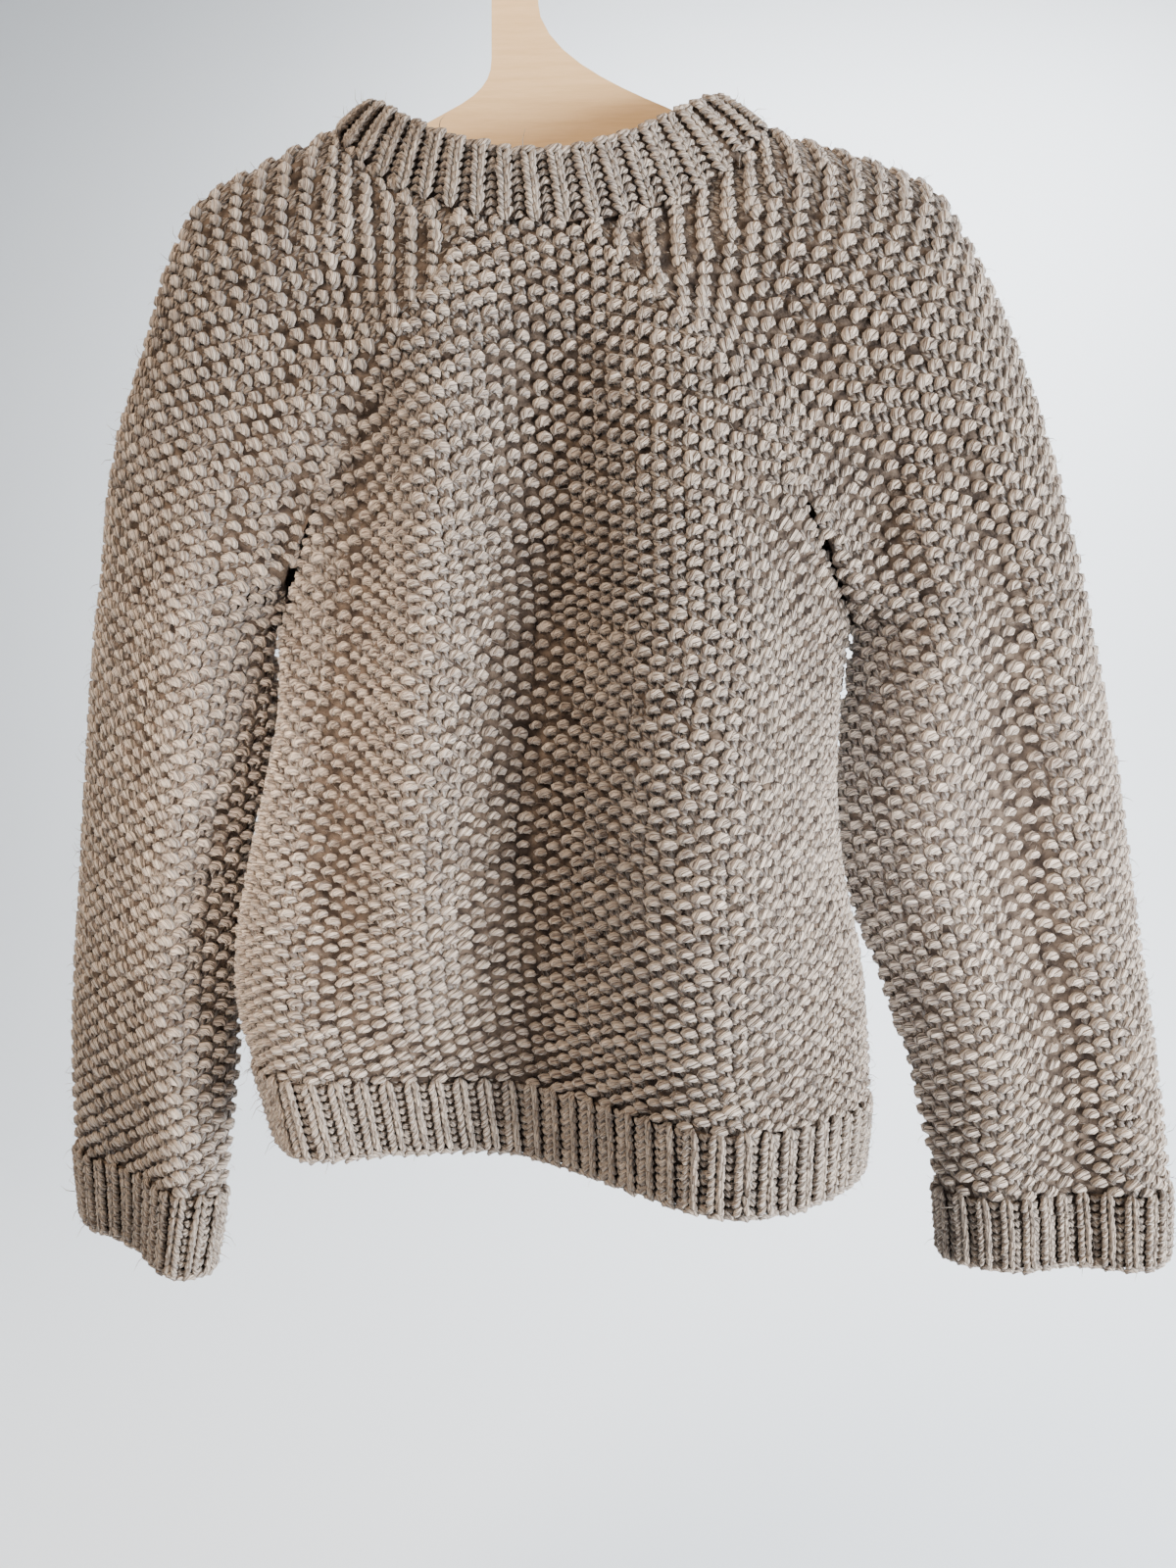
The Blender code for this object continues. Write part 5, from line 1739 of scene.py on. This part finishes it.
@dataclass
class Sweater:
    """The whole garment: two panels, two raglan sleeves, a neckband, a hem and two cuffs.

    A grid gives steps across, rows below the armpits and rows above them. The neckband's top sizes are in
    millimetres, and wales and flat sizes are in metres.
    """

    shape: HangingShape = field(default_factory=HangingShape)
    cloth_area: float = 0.165
    panel_courses: int = 113
    panel_wale: float = 0.0083
    panel_flat: tuple[float, float] = (0.42, 0.50)
    panel_tension: tuple[tuple[float, float], ...] = ((0.0, 0.82), (0.30, 0.90), (0.50, 1.12), (1.0, 1.16))
    panel_grid: tuple[int, int, int] = (110, 60, 70)
    panel_ground_grid: tuple[int, int, int] = (40, 20, 26)
    sleeve_courses: int = 123
    sleeve_wale: float = 0.0088
    sleeve_flat: tuple[float, float] = (0.32, 0.62)
    sleeve_tension: tuple[tuple[float, float], ...] = (
        (0.0, 0.96), (0.45, 1.08), (0.70, 1.10), (0.85, 1.45), (1.0, 1.70))
    sleeve_grid: tuple[int, int, int] = (46, 70, 60)
    sleeve_ground_grid: tuple[int, int, int] = (18, 26, 26)
    neck_panel_grid: tuple[int, int, int] = (60, 12, 30)
    neck_sleeve_grid: tuple[int, int, int] = (44, 12, 30)
    neck_places: int = 480
    neck_crest_steps: int = 720
    neck_levels_count: int = 9
    neck_lean: float = 0.35
    neck_top_centre: float = -7.0
    neck_top_half_width: float = 99.0
    neck_top_height: float = -114.0
    neck_top_drop: dict = field(default_factory=lambda: {Side.NEAR: 54.0, Side.FAR: 75.0})
    neck_top_bow: dict = field(default_factory=lambda: {Side.NEAR: 60.0, Side.FAR: 47.0})
    tube_levels_count: int = 5

    def panels(self, basket: YarnBasket) -> None:
        """Make the near and the far panel.

        Args:
            basket: The finishes.
        """
        for side, name, seed in ((Side.NEAR, "panel_near", 11), (Side.FAR, "panel_far", 21)):
            fine = Patch.from_points(self.shape.panel_points(side, *self.panel_grid))
            coarse = Patch.from_points(self.shape.panel_points(side, *self.panel_ground_grid))
            SeedStitchCloth(name + "_knit", name, fine, coarse, self.panel_courses, self.panel_wale,
                            self.panel_tension, self.panel_flat, self.cloth_area, seed,
                            seam_row=self.panel_grid[1]).build(basket)

    def sleeves(self, basket: YarnBasket) -> None:
        """Make the two sleeves.

        Args:
            basket: The finishes.
        """
        for hand, name, seed in ((Hand.LEFT, "sleeve_left", 31), (Hand.RIGHT, "sleeve_right", 41)):
            fine = Patch.from_points(self.shape.sleeve_points(hand, *self.sleeve_grid))
            coarse = Patch.from_points(self.shape.sleeve_points(hand, *self.sleeve_ground_grid))
            SeedStitchCloth(name + "_knit", name, fine, coarse, self.sleeve_courses, self.sleeve_wale,
                            self.sleeve_tension, self.sleeve_flat, self.cloth_area, seed).build(basket)

    @staticmethod
    def level_out(loop: Grid) -> Grid:
        """Directions out of a loop.

        Args:
            loop: The loop's points.

        Returns:
            Level directions, square to the loop.
        """
        tangents = np.roll(loop, -1, axis=0) - np.roll(loop, 1, axis=0)
        out = unit(np.stack([tangents[:, 1], -tangents[:, 0], np.zeros(len(loop))], axis=-1))
        if np.sum((loop - loop.mean(axis=0)) * out) < 0.0:
            out = -out
        return out

    def tube_levels(self, loops: list[Grid]) -> list[BandLevel]:
        """Return the levels of a band whose walls stand nearly upright."""
        return [BandLevel(loop, self.level_out(loop)) for loop in loops]

    def neck_levels(self) -> list[BandLevel]:
        """Levels of the neckband.

        Returns:
            Loops from the neck seam to the crest, with their outward directions.
        """
        near, far = [Patch.from_points(self.shape.panel_points(side, *self.neck_panel_grid)) for side in Side]
        left, right = [Patch.from_points(self.shape.sleeve_points(hand, *self.neck_sleeve_grid))
                       for hand in Hand]
        across = self.neck_panel_grid[0]
        fold = self.neck_sleeve_grid[0]
        stretches = ((left, range(fold, 0, -1)), (near, range(0, across)), (right, range(0, 2 * fold)),
                     (far, range(across, 0, -1)), (left, range(2 * fold, fold, -1)))
        loop = np.vstack([patch.points[-1, list(columns)] for patch, columns in stretches])
        out = np.vstack([patch.normals[-3, list(columns)] for patch, columns in stretches])
        seam, seam_out = spread_round(loop, self.neck_places, out)
        angles = np.linspace(0.0, 2.0 * np.pi, self.neck_crest_steps + 1)[:-1]
        in_front = angles < np.pi
        bow = np.where(in_front, self.neck_top_bow[Side.NEAR], self.neck_top_bow[Side.FAR])
        drop = np.where(in_front, self.neck_top_drop[Side.NEAR], self.neck_top_drop[Side.FAR])
        crest = np.stack([self.neck_top_centre - self.neck_top_half_width * np.cos(angles),
                          -bow * np.sin(angles),
                          self.neck_top_height - drop * np.sin(angles) ** 2], axis=-1) * MM
        crest = spread_round(crest, self.neck_places)[0]
        crest_out = unit(self.level_out(crest) + np.array([0.0, 0.0, self.neck_lean]))
        levels = []
        for level in np.linspace(0.0, 1.0, self.neck_levels_count):
            lean = unit(seam_out + (crest_out - seam_out) * smooth_step(level))
            middle = seam + (crest - seam) * level
            levels.append(BandLevel(middle + lean * math.sin(math.pi * level) * MM, lean))
        return levels

    def bands(self, basket: YarnBasket) -> None:
        """Make the neckband, the hem and the cuffs.

        Args:
            basket: The finishes.
        """
        RibbedBand("neckband_knit", "neckband", self.neck_levels(), ribs=44, courses=8, course_height=4.9,
                   pitch=12.4, flat=(0.50, 0.040), seed=51, rounded_end=0.0).build(basket)
        levels = np.linspace(0.0, 1.0, self.tube_levels_count)
        hem = [self.shape.hem_loop(level) for level in levels]
        RibbedBand("hem_knit", "hem_rib", self.tube_levels(hem), ribs=66, courses=9, course_height=4.6,
                   pitch=12.0, flat=(0.80, 0.039), seed=61).build(basket)
        for hand, name, seed in ((Hand.LEFT, "cuff_left", 71), (Hand.RIGHT, "cuff_right", 81)):
            cuff = [self.shape.cuff_loop(hand, level) for level in levels]
            RibbedBand(name + "_knit", name, self.tube_levels(cuff), ribs=26, courses=9, course_height=4.8,
                       pitch=10.4, flat=(0.26, 0.042), seed=seed).build(basket)

    def build(self, basket: YarnBasket) -> None:
        """Make every piece of the garment.

        Args:
            basket: The finishes.
        """
        self.panels(basket)
        self.sleeves(basket)
        self.bands(basket)


@dataclass
class Hanger:
    """The plywood hanger, which keeps its solid."""

    node: str = "hanger"

    def dress(self, frame: dict, basket: YarnBasket) -> None:
        """Give the solid its plywood.

        Args:
            basket: The finishes.
        """
        board = frame["nodes"][self.node]
        for slot in board.material_slots:
            slot.material = basket.plywood
        LOG.info("%s: dressed", self.node)


@dataclass
class Studio:
    """The pale cove, the lights and the camera, in metres."""

    floor_height: float = -1.15
    wall_depth: float = 2.3
    half_width: float = 4.0
    front: float = -3.5
    wall_height: float = 3.0
    cove_radius: float = 0.9
    cove_segments: int = 14
    tolerance: float = 0.01
    wall_colour: Colour = (0.80, 0.83, 0.86, 1.0)
    camera_place: Point = (0.04095, -0.66940, -0.49887)
    camera_yaw: float = 2.0
    camera_lens: float = 27.05
    sensor: float = 36.0
    spot_radius: float = 0.12
    ridge_heights: tuple[float, ...] = (-0.40, -0.50, -0.60)
    sky: Colour = (0.86, 0.91, 1.0, 1.0)
    sky_strength: float = 0.22

    def cove(self) -> None:
        """Make the floor and the wall as one bevelled sheet."""
        bpy.ops.object.select_all(action="DESELECT")
        depth = self.wall_depth - self.front
        middle = (0.0, self.front + 0.5 * depth, self.floor_height)
        bpy.ops.mesh.primitive_plane_add(size=1.0, location=middle)
        cove = bpy.context.object
        cove.name = "cove"
        cove.scale = (2.0 * self.half_width, depth, 1.0)
        bpy.ops.object.transform_apply(location=True, rotation=True, scale=True)
        bpy.ops.object.mode_set(mode="EDIT")
        bpy.ops.mesh.select_mode(type="EDGE")
        bpy.ops.mesh.select_all(action="DESELECT")
        bpy.ops.object.mode_set(mode="OBJECT")
        for edge in cove.data.edges:
            ends = [cove.data.vertices[number].co.y for number in edge.vertices]
            edge.select = min(ends) > self.wall_depth - self.tolerance
        bpy.ops.object.mode_set(mode="EDIT")
        bpy.ops.mesh.extrude_region_move(TRANSFORM_OT_translate={"value": (0.0, 0.0, self.wall_height)})
        bpy.ops.mesh.select_all(action="DESELECT")
        bpy.ops.object.mode_set(mode="OBJECT")
        for edge in cove.data.edges:
            ends = [cove.data.vertices[number].co for number in edge.vertices]
            edge.select = all(end.y > self.wall_depth - self.tolerance
                              and end.z < self.floor_height + self.tolerance for end in ends)
        bpy.ops.object.mode_set(mode="EDIT")
        bpy.ops.mesh.bevel(offset=self.cove_radius, segments=self.cove_segments, affect="EDGES")
        bpy.ops.object.mode_set(mode="OBJECT")
        cove.data.shade_smooth()
        cove.data.materials.append(PaleFinish("pale_wall", self.wall_colour).build())

    @staticmethod
    def lit(kind: str, name: str, place: Point, power: float, colour: Point) -> bpy.types.Object:
        """Add one light of a kind.

        Args:
            kind: AREA or SPOT.
            name: Its name.
            place: Where it stands.
            power: Its power, in watts.
            colour: Its colour.

        Returns:
            The light.
        """
        bpy.ops.object.light_add(type=kind, location=place)
        light = bpy.context.object
        light.name = name
        light.data.energy = power
        light.data.color = colour
        return light

    def lamp(self, name: str, place: Point, aim: Point, size: float, power: float, colour: Point) -> None:
        """Add one soft area lamp.

        Args:
            name: Its name.
            place: Where it stands.
            aim: The point it shines at.
            size: Its side, in metres.
            power: Its power, in watts.
            colour: Its colour.
        """
        lamp = self.lit("AREA", name, place, power, colour)
        lamp.data.size = size
        away = np.array(place) - np.array(aim)
        lamp.rotation_euler = (math.atan2(math.hypot(away[0], away[1]), away[2]), 0.0,
                               math.atan2(away[1], away[0]) + 0.5 * math.pi)

    def spot(self, name: str, place: Point, aim: Point, angle: float, power: float, colour: Point) -> None:
        """Add one soft-edged spot.

        Args:
            name: Its name.
            place: Where it stands.
            aim: The point it shines at.
            angle: The whole angle of its cone, in degrees.
            power: Its power, in watts.
            colour: Its colour.
        """
        spot = self.lit("SPOT", name, place, power, colour)
        spot.data.spot_size = math.radians(angle)
        spot.data.spot_blend = 1.0
        spot.data.shadow_soft_size = self.spot_radius
        away = Vector(place) - Vector(aim)
        spot.rotation_euler = away.to_track_quat("Z", "Y").to_euler()

    def light(self) -> None:
        """Set the studio light: a cool key from the right, a warm fill from the left and small soft spots."""
        self.lamp("key", place=(1.45, -0.97, -0.80), aim=(0.15, 0.0, -0.50), size=0.6, power=96.0,
                  colour=(0.93, 0.97, 1.0))
        self.lamp("fill", place=(-0.95, -0.75, 0.60), aim=(-0.12, 0.0, -0.15), size=0.5, power=30.0,
                  colour=(1.0, 0.82, 0.63))
        self.lamp("wall_wash", place=(0.8, 0.9, 0.9), aim=(0.6, 2.3, -0.9), size=2.0, power=128.0,
                  colour=(0.94, 0.97, 1.0))
        for number, height in enumerate(self.ridge_heights):
            self.spot("ridge_glow_%d" % number, place=(-0.35, -1.25, height), aim=(-0.150, -0.05, height),
                      angle=6.8, power=300.0, colour=(1.0, 0.88, 0.76))
        self.spot("sleeve_glow", place=(0.05, -1.30, -0.55), aim=(0.235, 0.0, -0.53), angle=12.0, power=200.0,
                  colour=(0.93, 0.96, 1.0))
        world = bpy.data.worlds.new("studio")
        bpy.context.scene.world = world
        world.use_nodes = True
        background = world.node_tree.nodes["Background"]
        background.inputs["Color"].default_value = self.sky
        background.inputs["Strength"].default_value = self.sky_strength

    def camera(self) -> None:
        """Put the camera where the photograph was taken from."""
        data = bpy.data.cameras.new("camera")
        data.sensor_fit = "VERTICAL"
        data.sensor_height = self.sensor
        data.lens = self.camera_lens
        data.clip_start = 0.01
        camera = bpy.data.objects.new("camera", data)
        camera.location = self.camera_place
        camera.rotation_euler = (0.5 * math.pi, 0.0, math.radians(self.camera_yaw))
        bpy.context.scene.collection.objects.link(camera)
        bpy.context.scene.camera = camera

    def build(self) -> None:
        """Make the stage, the lights and the camera."""
        self.cove()
        self.light()
        self.camera()


def main() -> None:
    """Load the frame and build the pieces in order."""
    logging.basicConfig(level=logging.INFO, format="%(name)s: %(message)s")
    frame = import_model()
    basket = YarnBasket.filled()
    Hanger().dress(frame, basket)
    Sweater().build(basket)
    Studio().build()


if __name__ == "__main__":
    main()
